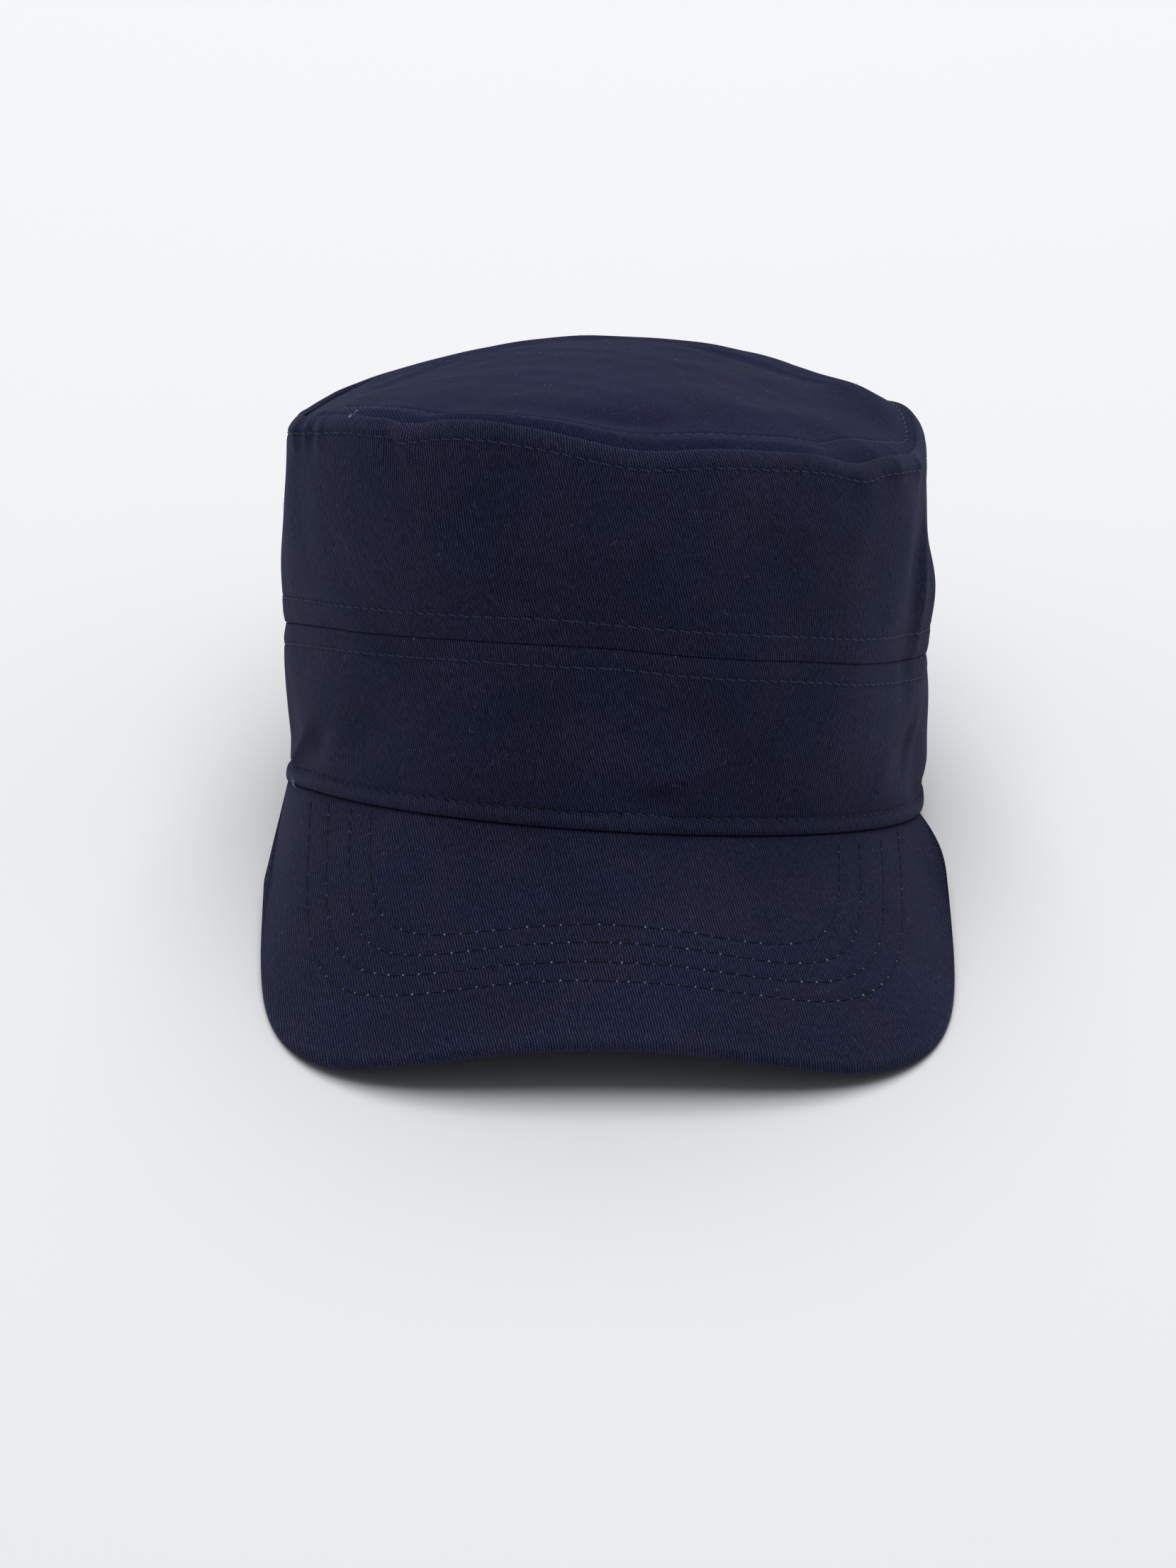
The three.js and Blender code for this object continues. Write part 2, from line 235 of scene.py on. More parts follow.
def fold_relief(angle, level, folds):
    """The sum of the folds' humps: each is out, times a hump round the crown, times a hump up it."""
    degrees = np.degrees(angle)
    relief = np.zeros_like(degrees)
    for place, middle, wide, tall, slant, out in folds:
        across = hump(turn_between(degrees, place + slant * (level - middle)), wide)
        relief = relief + out * across * hump(level - middle, tall)
    return relief


def edge_sag(angle):
    """How far the top edge has sunk: a hump for each row of EDGE_SAGS."""
    degrees = np.degrees(angle)
    return sum(EDGE_SAG * drop * hump(turn_between(degrees, place), wide) for place, wide, drop in EDGE_SAGS)


def cloth_heights(angle):
    """The heights of the band and the wall at an angle."""
    return height_at(BAND_HEIGHT, np.sin(angle)), height_at(WALL_HEIGHT, np.sin(angle))


def climb_at(angle, level):
    """How far up the cloth a level is, with the heights of the band and the wall there."""
    band, wall = cloth_heights(angle)
    return np.clip(level, 0, 1) * band + np.maximum(level - 1, 0) * wall, band, wall


def level_at(angle, climb):
    """The level that lies a climb in millimetres up the cloth."""
    band, wall = cloth_heights(angle)
    return np.where(climb < band, climb / band, 1 + (climb - band) / wall)


def crown_face(angle, level, sagging=1.0):
    """The crown's plain outer face: the rim's point, carried up the lean by the climb and out by swell and folds."""
    angle, level = np.broadcast_arrays(np.asarray(angle, float), np.asarray(level, float))
    climb, band, wall = climb_at(angle, level)
    in_band, in_wall = np.minimum(level, 1), np.maximum(level - 1, 0)
    swell = np.where(level < 1, BAND_SWELL * np.sin(np.pi * in_band), WALL_SWELL * np.sin(np.pi * in_wall))
    seams = hump(climb - band, SEAM_REACH) + hump(band + wall - climb, SEAM_REACH)
    fold_share = np.maximum(0, 1 - (band + wall - climb) / TOP_FOLD)
    out = swell - SEAM_PULL * seams - TOP_FOLD_IN * fold_share**2
    out = out + FOLD_DEPTH * fold_relief(angle, level, FOLDS)
    sunk = sagging * edge_sag(angle) * hump(2 - level, SAG_REACH)
    held = np.minimum(1, climb / SEAM_REACH / HELD_BY_RIM)
    up = UP_THE_CROWN * (climb - sunk)[..., None]
    return rim_point(angle, level) + up + outward(angle) * (out * held)[..., None]


def wander(points, wavelength, seed):
    """Smooth noise, mostly from -1 to 1: a quarter of the sum of eight sine waves in seeded directions."""
    chance = np.random.default_rng(seed)
    total = np.zeros(points.shape[:-1])
    for _ in range(8):
        way = chance.normal(size=3)
        way = way / np.linalg.norm(way) * 2 * np.pi / (wavelength * chance.uniform(0.7, 1.5))
        total = total + np.sin(points @ way + chance.uniform(0, 2 * np.pi))
    return total / 4


def ripple(angle, seed):
    """Puckers round the crown: a third of the sum of six seeded waves, whole numbers of which go round it."""
    chance = np.random.default_rng(seed)
    waves = [np.sin(chance.integers(44, 96) * angle + chance.uniform(0, 2 * np.pi)) for _ in range(6)]
    return sum(waves) / 3


def past_row(distance):
    """0 before a row of stitches and 1 past it, with a soft step over the row itself."""
    return ramp(distance, *ROW_STEP)


def sewn_relief(angle, level):
    """How far sewing moves the cloth out: a rolled hem, a strip pressed flat on each side of the seam with the
    upper one lapped over the lower, a strip folded over at the top, a groove at each stitch row, and puckers that
    fade away from the rows."""
    climb, band, wall = climb_at(angle, level)
    top = band + wall
    rows = [HEM, band - STITCHES_BELOW, band + STITCHES_ABOVE, top - STITCHES_FROM_TOP]
    roll = HEM_ROLL * np.sqrt(np.clip(1 - (2 * climb / HEM - 1) ** 2, 0, 1))
    strips = past_row(climb - rows[1]) * past_row(rows[2] - climb) + past_row(climb - rows[3])
    lap = ramp(climb - band, -LAP_STEP, LAP_STEP) * (1 - ramp(climb - band, *LAP_FADE))
    relief = roll + STRIP_PROUD * strips + LAP_PROUD * lap + SEAM_CREST * hump(climb - band, SEAM_REACH)
    for number, row in enumerate(rows):
        groove = GROOVE_DEPTH * (HEM_GROOVE if number == 0 else 1)
        relief = relief - groove * hump(climb - row, GROOVE_REACH)
        relief = relief + PUCKER * ripple(angle, number) * hump(climb - row, PUCKER_REACH)
    return relief


def in_front(angle):
    """1 round the front of the crown and 0 round its back."""
    return ramp(np.sin(angle), *IN_FRONT)


def edge_stand(angle):
    """How far the folded top edge stands out straight instead of rolling in, which it does in front."""
    return EDGE_STAND * in_front(angle)


def crown_cloth(angle, level):
    """The crown's finished outer face: the plain one, with its sewn relief and its standing top edge, and above the
    hem its creases and a little slack."""
    plain = crown_face(angle, level)
    angle, level = np.broadcast_arrays(np.asarray(angle, float), np.asarray(level, float))
    relief = fold_relief(angle, level, CREASES) * ramp(level, *CREASES_START) + sewn_relief(angle, level)
    slack = SLACK * wander(plain, SLACK_LENGTH, 7) + RUMPLE * wander(plain, RUMPLE_LENGTH, 8)
    relief = relief + slack * ramp(level, *SLACK_START)
    climb, band, wall = climb_at(angle, level)
    relief = relief + edge_stand(angle) * ramp(climb - band - wall, *STAND_RISE)
    return plain + outward(angle) * relief[..., None]


def normals(face, a, b, step_a, step_b, towards):
    """The direction out of a face, as the cross product of its two slopes, on the side that towards points to."""
    along_a = face(a + step_a, b) - face(a - step_a, b)
    along_b = face(a, b + step_b) - face(a, b - step_b)
    out = np.cross(along_a, along_b)
    out = out / np.linalg.norm(out, axis=-1, keepdims=True)
    return out * np.sign(np.sum(out * towards, axis=-1, keepdims=True))


def crown_normals(angle, level):
    """The directions out of the crown's finished face."""
    return normals(crown_cloth, angle, level, TURN_STEP, LEVEL_STEP, outward(angle))


# Where the cap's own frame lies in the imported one
PEAK_WIDTH = 182.5
PEAK_REACH = 57.5
peak_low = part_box("peak")[0]
SHIFT = np.array(
    [
        peak_low.x + PEAK_WIDTH / 2000,
        peak_low.y + (CROWN_LENGTH / 2 + PEAK_REACH) / 1000,
        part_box("lower_band")[0].z,
    ]
)


def quad_mesh(name, points, quads, uv, **shades):
    """A smooth mesh object from points in millimetres, with a uv for each corner and a value for each point."""
    mesh = bpy.data.meshes.new(name)
    quads = np.asarray(quads, dtype=np.int32).reshape(-1, 4)
    mesh.vertices.add(len(points))
    mesh.vertices.foreach_set("co", (points / 1000 + SHIFT).astype(np.float32).ravel())
    mesh.loops.add(quads.size)
    mesh.loops.foreach_set("vertex_index", quads.ravel())
    mesh.polygons.add(len(quads))
    mesh.polygons.foreach_set("loop_start", np.arange(len(quads), dtype=np.int32) * 4)
    mesh.polygons.foreach_set("use_smooth", np.ones(len(quads), dtype=bool))
    mesh.uv_layers.new(name="cloth").data.foreach_set("uv", (uv / 1000).astype(np.float32).ravel())
    for shade, values in shades.items():
        mesh.attributes.new(shade, "FLOAT", "POINT").data.foreach_set("value", values.astype(np.float32).ravel())
    mesh.update()
    mesh.validate()
    piece = bpy.data.objects.new(name, mesh)
    bpy.context.collection.objects.link(piece)
    return piece


def grid_quads(rows, columns, closed_rows, closed_columns):
    """The corners of a grid's quads, wrapped round where it is closed, and the same corners unwrapped for its uv."""
    i, j = np.meshgrid(np.arange(rows - 1 + closed_rows), np.arange(columns - 1 + closed_columns), indexing="ij")
    corners = np.stack([i, i, i + 1, i + 1], -1), np.stack([j, j + 1, j + 1, j], -1)
    wrapped = corners[0] % rows * columns + corners[1] % columns
    return wrapped.reshape(-1, 4), corners[0].reshape(-1, 4), corners[1].reshape(-1, 4)


# How many points go round the crown, and up the band's outer face and down its inner one; how the edges are rounded;
# and where painted sheen and wear make them paler
AROUND = 660
BAND_ROWS = (84, 26)
EDGE_ROUND = 0.35
EDGE_FULLNESS = 0.7
SEWN_GAP = 0.02
HEM_SHEEN_AND_WEAR = 1.6
TOP_SHEEN_AND_WEAR = 1.0
SEAM_SHEEN_AND_WEAR = 0.6
SEAM_SHEEN_AND_WEAR_BELOW = 0.8
SEAM_SHEEN_AND_WEAR_WIDE = 0.9


def band_loop(start, end, rows, top_round):
    """A loop up the outer side of a band of cloth and down its inner one, as climbs and depths under the outer
    face. start and end are arrays of climbs, one for each angle, and both edges are rounded over."""
    arc = np.linspace(0, np.pi, 8)[1:-1]
    low, high = start + EDGE_ROUND, end - top_round
    up = low[:, None] + (high - low)[:, None] * np.linspace(0, 1, rows[0])
    over = high[:, None] + top_round * np.sin(arc) ** EDGE_FULLNESS
    down = high[:, None] + (low - high)[:, None] * np.linspace(0, 1, rows[1])
    under = low[:, None] - EDGE_ROUND * np.sin(arc) ** EDGE_FULLNESS
    climbs = np.concatenate([up, over, down, under], axis=1)
    turned_in = CLOTH / 2 * (1 - np.cos(arc))
    depths = [np.zeros(rows[0]), turned_in, np.full(rows[1], CLOTH), turned_in[::-1]]
    return climbs, np.broadcast_to(np.concatenate(depths), climbs.shape)


def band_of_cloth(name, start, end, rows, top_round):
    """A closed band round the crown. Its uv is the way round and the way up its cloth, and rub is 1 on its edges,
    where painted sheen and wear make the cloth paler.
    """
    angle = np.linspace(0, 2 * np.pi, AROUND, endpoint=False)
    climbs, depths = band_loop(start(angle), end(angle), rows, top_round)
    angles = np.broadcast_to(angle[:, None], climbs.shape)
    levels = level_at(angles, climbs)
    points = crown_cloth(angles, levels) - crown_normals(angles, levels) * depths[..., None]
    quads, i, j = grid_quads(*climbs.shape, True, True)
    girth = np.pi * (CROWN_WIDTH + CROWN_LENGTH) / 2
    uv = np.stack([-(i / AROUND) * girth, climbs[i % AROUND, j % climbs.shape[1]]], axis=-1)
    band, wall = cloth_heights(angles)
    # Painted sheen and wear: paler cloth along the hem, the folded top edge and just under the seam between the bands
    rub = hump(climbs - HEM / 2, HEM_SHEEN_AND_WEAR) + hump(band + wall - climbs, TOP_SHEEN_AND_WEAR)
    rub = rub + SEAM_SHEEN_AND_WEAR * hump(climbs - band + SEAM_SHEEN_AND_WEAR_BELOW, SEAM_SHEEN_AND_WEAR_WIDE)
    return quad_mesh(name, points.reshape(-1, 3), quads, uv, rub=rub)


def line_up(pieces, off):
    """A line round the crown, as a function that gives its climb at an angle: off from the top of so many pieces,
    where 0 is the rim, 1 the seam between the bands and 2 the wall's top edge."""
    return lambda angle: sum(cloth_heights(angle)[:pieces], 0 * angle) + off


lower_band = band_of_cloth("lower_band_cloth", line_up(0, 0), line_up(1, -SEWN_GAP / 2), BAND_ROWS, EDGE_ROUND)


def set_inputs(node, values):
    """Sets a node's own sockets to constant values, by their names."""
    for name, value in values.items():
        node.inputs[name].default_value = value


# The twill: the ribs' slant as a cosine and a sine, how far two sizes of noise waver them in radians, how long and
# how deep their floats are, and how strongly each noise shows
RIB_COSINE, RIB_SINE = 0.968, 0.25
RIB_SLANT = 0.253
FINE_WAVER, COARSE_WAVER = 2.2, 6.0
FLOATS_IN_PITCH = 5.0
FLOAT_DEPTH = 0.2
STREAK_STRETCH = 0.22
STREAK_GAIN, STREAK_BASE = 2.6, -0.12
PATCH_FROM, PATCH_TO = 0.36, 0.64
CLOUD_GAIN, CLOUD_BASE = 0.9, 0.55
FUZZ_GAIN = 2.0
SHEEN_AND_WEAR_SHARE = 0.26

# The twill's noises: scale in a metre, detail and, for the last, roughness
COARSE_NOISE, FINE_NOISE, STREAK_NOISE = (330, 2), (1500, 1), (2300, 2)
PATCH_NOISE, CLOUD_NOISE, FUZZ_NOISE = (55, 4), (26, 5), (620, 4, 1.0)


def twill_group():
    """Twill weave as a node group. Ribs are sine waves across the cloth's uv at a steep angle, wavered by two sizes
    of noise. A second sine breaks each rib into floats, and streaks of noise make the yarns thick and thin. The ribs
    run from one colour to another in patches, with the dark valley colour between them as painted shade, and noise of
    two sizes, clouds and fuzz, shades the whole. Where the Sheen And Wear input is up, the ribs are mixed towards a
    paler colour, painted sheen with wear. It puts out a colour and a height."""
    group = bpy.data.node_groups.new("twill_weave", "ShaderNodeTree")
    for name, kind, value in [
        ("Rib Colour", "NodeSocketColor", (0.02, 0.022, 0.045, 1)),
        ("Second Rib Colour", "NodeSocketColor", (0.02, 0.022, 0.045, 1)),
        ("Valley Colour", "NodeSocketColor", (0.006, 0.007, 0.016, 1)),
        ("Sheen And Wear Colour", "NodeSocketColor", (0.05, 0.055, 0.09, 1)),
        ("Rib Pitch", "NodeSocketFloat", 0.00072),
        ("Mottle", "NodeSocketFloat", 0.6),
        ("Sheen And Wear", "NodeSocketFloat", 0.0),
    ]:
        group.interface.new_socket(name, in_out="INPUT", socket_type=kind).default_value = value
    group.interface.new_socket("Colour", in_out="OUTPUT", socket_type="NodeSocketColor")
    group.interface.new_socket("Height", in_out="OUTPUT", socket_type="NodeSocketFloat")
    nodes, links = group.nodes, group.links
    given, out = nodes.new("NodeGroupInput"), nodes.new("NodeGroupOutput")

    def feed(socket, value):
        if hasattr(value, "is_output"):
            links.new(value, socket)
        else:
            socket.default_value = value

    def calculate(operation, *values):
        node = nodes.new("ShaderNodeMath")
        node.operation = operation
        for socket, value in zip(node.inputs, values):
            feed(socket, value)
        return node.outputs[0]

    def noise(place, scale, detail, roughness=0.5):
        node = nodes.new("ShaderNodeTexNoise")
        links.new(place, node.inputs["Vector"])
        set_inputs(node, {"Scale": scale, "Detail": detail, "Roughness": roughness})
        return node.outputs[0]

    def blend(share, first, second):
        node = nodes.new("ShaderNodeMix")
        node.data_type = "RGBA"
        feed(node.inputs[0], share)
        feed(node.inputs[6], first)
        feed(node.inputs[7], second)
        return node.outputs[2]

    uv_node = nodes.new("ShaderNodeUVMap")
    uv_node.uv_map = "cloth"
    uv = uv_node.outputs["UV"]
    place = nodes.new("ShaderNodeTexCoord").outputs["Object"]
    apart = nodes.new("ShaderNodeSeparateXYZ")
    links.new(uv, apart.inputs["Vector"])
    u, v = apart.outputs["X"], apart.outputs["Y"]
    across = calculate("ADD", calculate("MULTIPLY", u, RIB_COSINE), calculate("MULTIPLY", v, RIB_SINE))
    along = calculate("SUBTRACT", calculate("MULTIPLY", v, RIB_COSINE), calculate("MULTIPLY", u, RIB_SINE))
    turn = calculate("DIVIDE", calculate("MULTIPLY", across, 2 * np.pi), given.outputs["Rib Pitch"])
    coarse = calculate("MULTIPLY", noise(uv, *COARSE_NOISE), COARSE_WAVER)
    phase = calculate("ADD", turn, calculate("MULTIPLY_ADD", noise(uv, *FINE_NOISE), FINE_WAVER, coarse))
    rib = calculate("MULTIPLY_ADD", calculate("SINE", phase), 0.5, 0.5)
    float_turn = calculate("DIVIDE", calculate("MULTIPLY", along, FLOATS_IN_PITCH), given.outputs["Rib Pitch"])
    floats = calculate("SINE", calculate("MULTIPLY_ADD", phase, 0.5, float_turn))
    stretched = nodes.new("ShaderNodeMapping")
    set_inputs(stretched, {"Rotation": (0, 0, RIB_SLANT), "Scale": (1, STREAK_STRETCH, 1)})
    links.new(uv, stretched.inputs["Vector"])
    streaks = noise(stretched.outputs[0], *STREAK_NOISE)
    weave = calculate("MULTIPLY", rib, calculate("MULTIPLY_ADD", floats, FLOAT_DEPTH, 1 - FLOAT_DEPTH))
    weave = calculate("MULTIPLY", weave, calculate("MULTIPLY_ADD", streaks, STREAK_GAIN, STREAK_BASE))
    patch_share = nodes.new("ShaderNodeMapRange")
    links.new(noise(place, *PATCH_NOISE), patch_share.inputs["Value"])
    set_inputs(patch_share, {"From Min": PATCH_FROM, "From Max": PATCH_TO})
    ribs = blend(patch_share.outputs[0], given.outputs["Rib Colour"], given.outputs["Second Rib Colour"])
    # The dark valley colour between the ribs is painted shade
    plain = blend(weave, given.outputs["Valley Colour"], ribs)
    shaded = nodes.new("ShaderNodeVectorMath")
    shaded.operation = "SCALE"
    links.new(plain, shaded.inputs[0])
    fuzz = calculate("MULTIPLY", calculate("SUBTRACT", noise(place, *FUZZ_NOISE), 0.5), given.outputs["Mottle"])
    clouds = calculate("MULTIPLY_ADD", noise(place, *CLOUD_NOISE), CLOUD_GAIN, CLOUD_BASE)
    links.new(calculate("MULTIPLY", clouds, calculate("MULTIPLY_ADD", fuzz, FUZZ_GAIN, 1.0)), shaded.inputs["Scale"])
    # Mixes the ribs towards the paler colour where the sheen-and-wear input is up: painted sheen with wear
    sheen_and_wear_mix = calculate("MULTIPLY", calculate("MULTIPLY", given.outputs["Sheen And Wear"], SHEEN_AND_WEAR_SHARE), weave)
    links.new(blend(sheen_and_wear_mix, shaded.outputs[0], given.outputs["Sheen And Wear Colour"]), out.inputs["Colour"])
    links.new(weave, out.inputs["Height"])
    return group


twill_weave = twill_group()


def new_material(name, **values):
    """A material with constant values on its shader's sockets, and its nodes, its links and that shader."""
    material = bpy.data.materials.new(name)
    material.use_nodes = True
    nodes = material.node_tree.nodes
    set_inputs(nodes["Principled BSDF"], {key.replace("_", " "): value for key, value in values.items()})
    return material, nodes, material.node_tree.links, nodes["Principled BSDF"]


def twill_material(name, blue, purple, valley, sheen_and_wear_colour, mottle):
    """Matt navy twill: the weave group colours it and bumps it, and a bluish sheen stands for its short nap."""
    nap = {"Sheen_Weight": 0.08, "Sheen_Roughness": 0.42, "Sheen_Tint": (0.34, 0.4, 0.84, 1)}
    material, nodes, links, shader = new_material(name, Roughness=0.9, Specular_IOR_Level=0.12, **nap)
    weave = nodes.new("ShaderNodeGroup")
    weave.node_tree = twill_weave
    colours = {"Rib Colour": blue, "Second Rib Colour": purple, "Valley Colour": valley, "Sheen And Wear Colour": sheen_and_wear_colour}
    set_inputs(weave, {socket: (*colour, 1) for socket, colour in colours.items()} | {"Mottle": mottle})
    # The rub attribute marks where painted sheen and wear make the cloth paler
    rub = nodes.new("ShaderNodeAttribute")
    rub.attribute_name = "rub"
    bump = nodes.new("ShaderNodeBump")
    set_inputs(bump, {"Strength": 0.7, "Distance": 0.00014})
    links.new(rub.outputs["Fac"], weave.inputs["Sheen And Wear"])
    links.new(weave.outputs["Colour"], shader.inputs["Base Color"])
    links.new(weave.outputs["Height"], bump.inputs["Height"])
    links.new(bump.outputs["Normal"], shader.inputs["Normal"])
    return material


# The paler colour that edges are mixed towards: painted sheen with wear
SHEEN_AND_WEAR_COLOUR = (0.06, 0.068, 0.125)
MOTTLE = 1.1
# The crown's twill: blue and purple ribs, and a dark valley colour that is painted shade between them
crown_twill = twill_material(
    "crown_twill", (0.0295, 0.0375, 0.083), (0.037, 0.037, 0.076), (0.0017, 0.0022, 0.0150), SHEEN_AND_WEAR_COLOUR, MOTTLE
)
lower_band.data.materials.append(crown_twill)
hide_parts("lower_band")
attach(lower_band, "root")

# Its two rows of lockstitch in navy thread. Each stitch lies in the row's groove with its ends drawn down through
# the cloth, and leans a little. A dot of shadow between the stitches is a needle hole.
THREAD = 0.21
STITCH = 3.4
STITCH_LEAN = 0.2
STITCH_SPREAD = np.linspace(0.05, 0.95, 7)
HOLE = 0.36
HOLE_PROUD = 0.09
PLUG_DEPTHS = (-0.3, -0.1)
PLUG_TAPER = np.array([1, 1, 0.8])
TUBE_SIDES = 6
ROUND_IT = np.linspace(0, 2 * np.pi, 3000)


def unit(vectors):
    """The vectors at length one."""
    return vectors / np.maximum(np.linalg.norm(vectors, axis=-1, keepdims=True), 1e-12)


def tubes(name, centres, outs, radii):
    """Closed six-sided tubes, one for each path of centres. A ring is centre + radius (cos up + sin side), where
    side is the path's direction crossed with outs, and up is side crossed with the direction."""
    count, rings = centres.shape[:2]
    along = np.gradient(centres, axis=1)
    side = unit(np.cross(along, outs))
    up = unit(np.cross(side, along))
    turn = np.arange(TUBE_SIDES) * 2 * np.pi / TUBE_SIDES
    ring = np.cos(turn)[:, None] * up[:, :, None] + np.sin(turn)[:, None] * side[:, :, None]
    points = centres[:, :, None] + ring * np.broadcast_to(radii, (count, rings))[..., None, None]
    walls, corner_ring, corner_side = grid_quads(rings, TUBE_SIDES, False, True)
    end = (rings - 1) * TUBE_SIDES
    caps = [[3, 2, 1, 0], [5, 4, 3, 0], [end, end + 1, end + 2, end + 3], [end, end + 3, end + 4, end + 5]]
    quads = np.concatenate([walls, caps]) + (np.arange(count) * rings * TUBE_SIDES)[:, None, None]
    step = np.linalg.norm(np.diff(centres, axis=1), axis=-1).mean()
    uv = np.concatenate([np.stack([corner_ring * step, corner_side / TUBE_SIDES], -1), np.zeros((4, 4, 2))])
    return quad_mesh(name, points.reshape(-1, 3), quads, np.broadcast_to(uv, (count, *uv.shape)))


def evenly(places, points, pitch, spread):
    """Places along a line, a row for each stitch: as many equal stitches as fit its length, each with its own
    spread of places over its share of the line."""
    length = np.concatenate([[0], np.cumsum(np.linalg.norm(np.diff(points, axis=0), axis=1))])
    count = round(length[-1] / pitch)
    return np.interp((np.arange(count)[:, None] + spread) * length[-1] / count, length, places)


def lying_stitches(points, outs, depth, radius):
    """Paths of stitches on a face: each rises from one radius under it to 0.6 over it, as the root of a half
    sine, and the same paths are repeated on the cloth's other side, a depth under the face."""
    rise = radius * (1.6 * np.sqrt(np.sin(np.linspace(0, np.pi, points.shape[1]))) - 1)[:, None]
    return np.concatenate([points + outs * rise, points - outs * (depth + rise)]), np.concatenate([outs, -outs])


def leaning(angles):
    """How much each place on a stitch is moved over, from one end to the other; a single place stays."""
    return STITCH_LEAN * np.linspace(-1, 1, angles.shape[1]) if angles.shape[1] > 1 else 0


def crown_row(climb_of, spread):
    """Angles and levels for stitches round the crown, with their far end leaning up."""
    line = crown_cloth(ROUND_IT, level_at(ROUND_IT, climb_of(ROUND_IT)))
    angles = evenly(ROUND_IT, line, STITCH, spread)
    return angles, level_at(angles, climb_of(angles) + leaning(angles))


def crown_stitches(name, rows):
    """The stitches of some rows round the crown, as one mesh."""
    paths, sides = [], []
    for climb_of in rows:
        places = crown_row(climb_of, STITCH_SPREAD)
        path, side = lying_stitches(crown_cloth(*places), crown_normals(*places), CLOTH, THREAD)
        paths.append(path)
        sides.append(side)
    return tubes(name, np.concatenate(paths), np.concatenate(sides), THREAD)


def sunk_dots(name, points, outs, radius, proud):
    """Short plugs through a face at some points, proud of it by so much: dark ones are painted shadow in needle
    holes.
    radius is one for all of them, or one for each."""
    paths = points[:, None] + outs[:, None] * np.array([*PLUG_DEPTHS, proud])[:, None]
    across = np.broadcast_to(unit(np.cross(outs, [0.31, 0.64, 0.7]))[:, None], paths.shape)
    return tubes(name, paths, across, PLUG_TAPER * np.reshape(radius, (-1, 1)))


def crown_dots(name, rows, share, radius, proud):
    """A dot between the stitches of some rows round the crown, at a seeded share of its needle holes."""
    places, sides = [], []
    for climb_of in rows:
        angles, levels = crown_row(climb_of, np.array([0.0]))
        sides.append(crown_normals(angles, levels)[:, 0])
        places.append(crown_cloth(angles, levels)[:, 0])
    places, sides = np.concatenate(places), np.concatenate(sides)
    kept = np.random.default_rng(len(places)).uniform(size=len(places)) < share
    return sunk_dots(name, places[kept], sides[kept], radius, proud)


def thread_material(name, light, dark, sheen):
    """Spun thread: its plies are sine stripes that wind round it, with painted light on their backs and painted shade
    between them.
    """
    fuzz = {"Sheen_Weight": sheen, "Sheen_Roughness": 0.4, "Sheen_Tint": (0.6, 0.66, 0.9, 1)}
    material, nodes, links, shader = new_material(name, Roughness=0.62, Specular_IOR_Level=0.18, **fuzz)
    uv = nodes.new("ShaderNodeUVMap")
    uv.uv_map = "cloth"
    plies = nodes.new("ShaderNodeTexWave")
    plies.bands_direction = "DIAGONAL"
    set_inputs(plies, {"Scale": 900, "Distortion": 0.6})
    colours = nodes.new("ShaderNodeValToRGB")
    colours.color_ramp.elements[0].color = (*dark, 1)
    colours.color_ramp.elements[1].color = (*light, 1)
    bump = nodes.new("ShaderNodeBump")
    set_inputs(bump, {"Strength": 0.5, "Distance": 0.00008})
    links.new(uv.outputs["UV"], plies.inputs["Vector"])
    links.new(plies.outputs["Fac"], colours.inputs["Fac"])
    links.new(plies.outputs["Fac"], bump.inputs["Height"])
    links.new(colours.outputs["Color"], shader.inputs["Base Color"])
    links.new(bump.outputs["Normal"], shader.inputs["Normal"])
    return material


navy_thread = thread_material("navy_thread", (0.045, 0.058, 0.105), (0.016, 0.022, 0.048), sheen=0.1)
# Near-black dots of painted shadow where the needle holes are
needle_shadow = thread_material("needle_hole_shade", (0.003, 0.003, 0.006), (0.0015, 0.0015, 0.003), sheen=0.0)


def dress_as_thread(piece, material):
    """Gives a sewn detail its material and the cap's body."""
    piece.data.materials.append(material)
    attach(piece, "root")


band_rows = [line_up(0, HEM), line_up(1, -STITCHES_BELOW)]
dress_as_thread(crown_stitches("band_stitches", band_rows), navy_thread)
dress_as_thread(crown_dots("band_needle_hole_shades", band_rows, share=1, radius=HOLE, proud=HOLE_PROUD), needle_shadow)

# Here and there the pale backing thread shows at a needle hole of these rows, and just under the seam above them
PALE_PROUD = 0.2
pale_thread = thread_material("pale_backing_thread", (0.3, 0.4, 0.62), (0.14, 0.2, 0.36), sheen=0.1)
pale_rows = [*band_rows, line_up(1, -0.4)]
dress_as_thread(crown_dots("band_pale_marks", pale_rows, share=0.045, radius=0.2, proud=PALE_PROUD), pale_thread)

# The upper wall. A taller strip of the same twill, sewn on above the band. Its top edge is folded to the inside and
# stitched through, and stands a little higher than the oval top that it holds.
RIDGE_ROUND = 0.5
WALL_ROWS = (100, 28)
upper_wall = band_of_cloth("upper_wall_cloth", line_up(1, SEWN_GAP / 2), line_up(2, 0), WALL_ROWS, RIDGE_ROUND)
upper_wall.data.materials.append(crown_twill)
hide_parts("upper_wall")
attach(upper_wall, "root")

# Its two rows of stitches, one over the seam and one that holds the folded top edge
wall_rows = [line_up(1, STITCHES_ABOVE), line_up(2, -STITCHES_FROM_TOP)]
dress_as_thread(crown_stitches("wall_stitches", wall_rows), navy_thread)
dress_as_thread(crown_dots("wall_needle_hole_shades", wall_rows, share=1, radius=HOLE, proud=HOLE_PROUD), needle_shadow)
dress_as_thread(crown_dots("wall_pale_marks", wall_rows, share=0.03, radius=0.17, proud=PALE_PROUD), pale_thread)

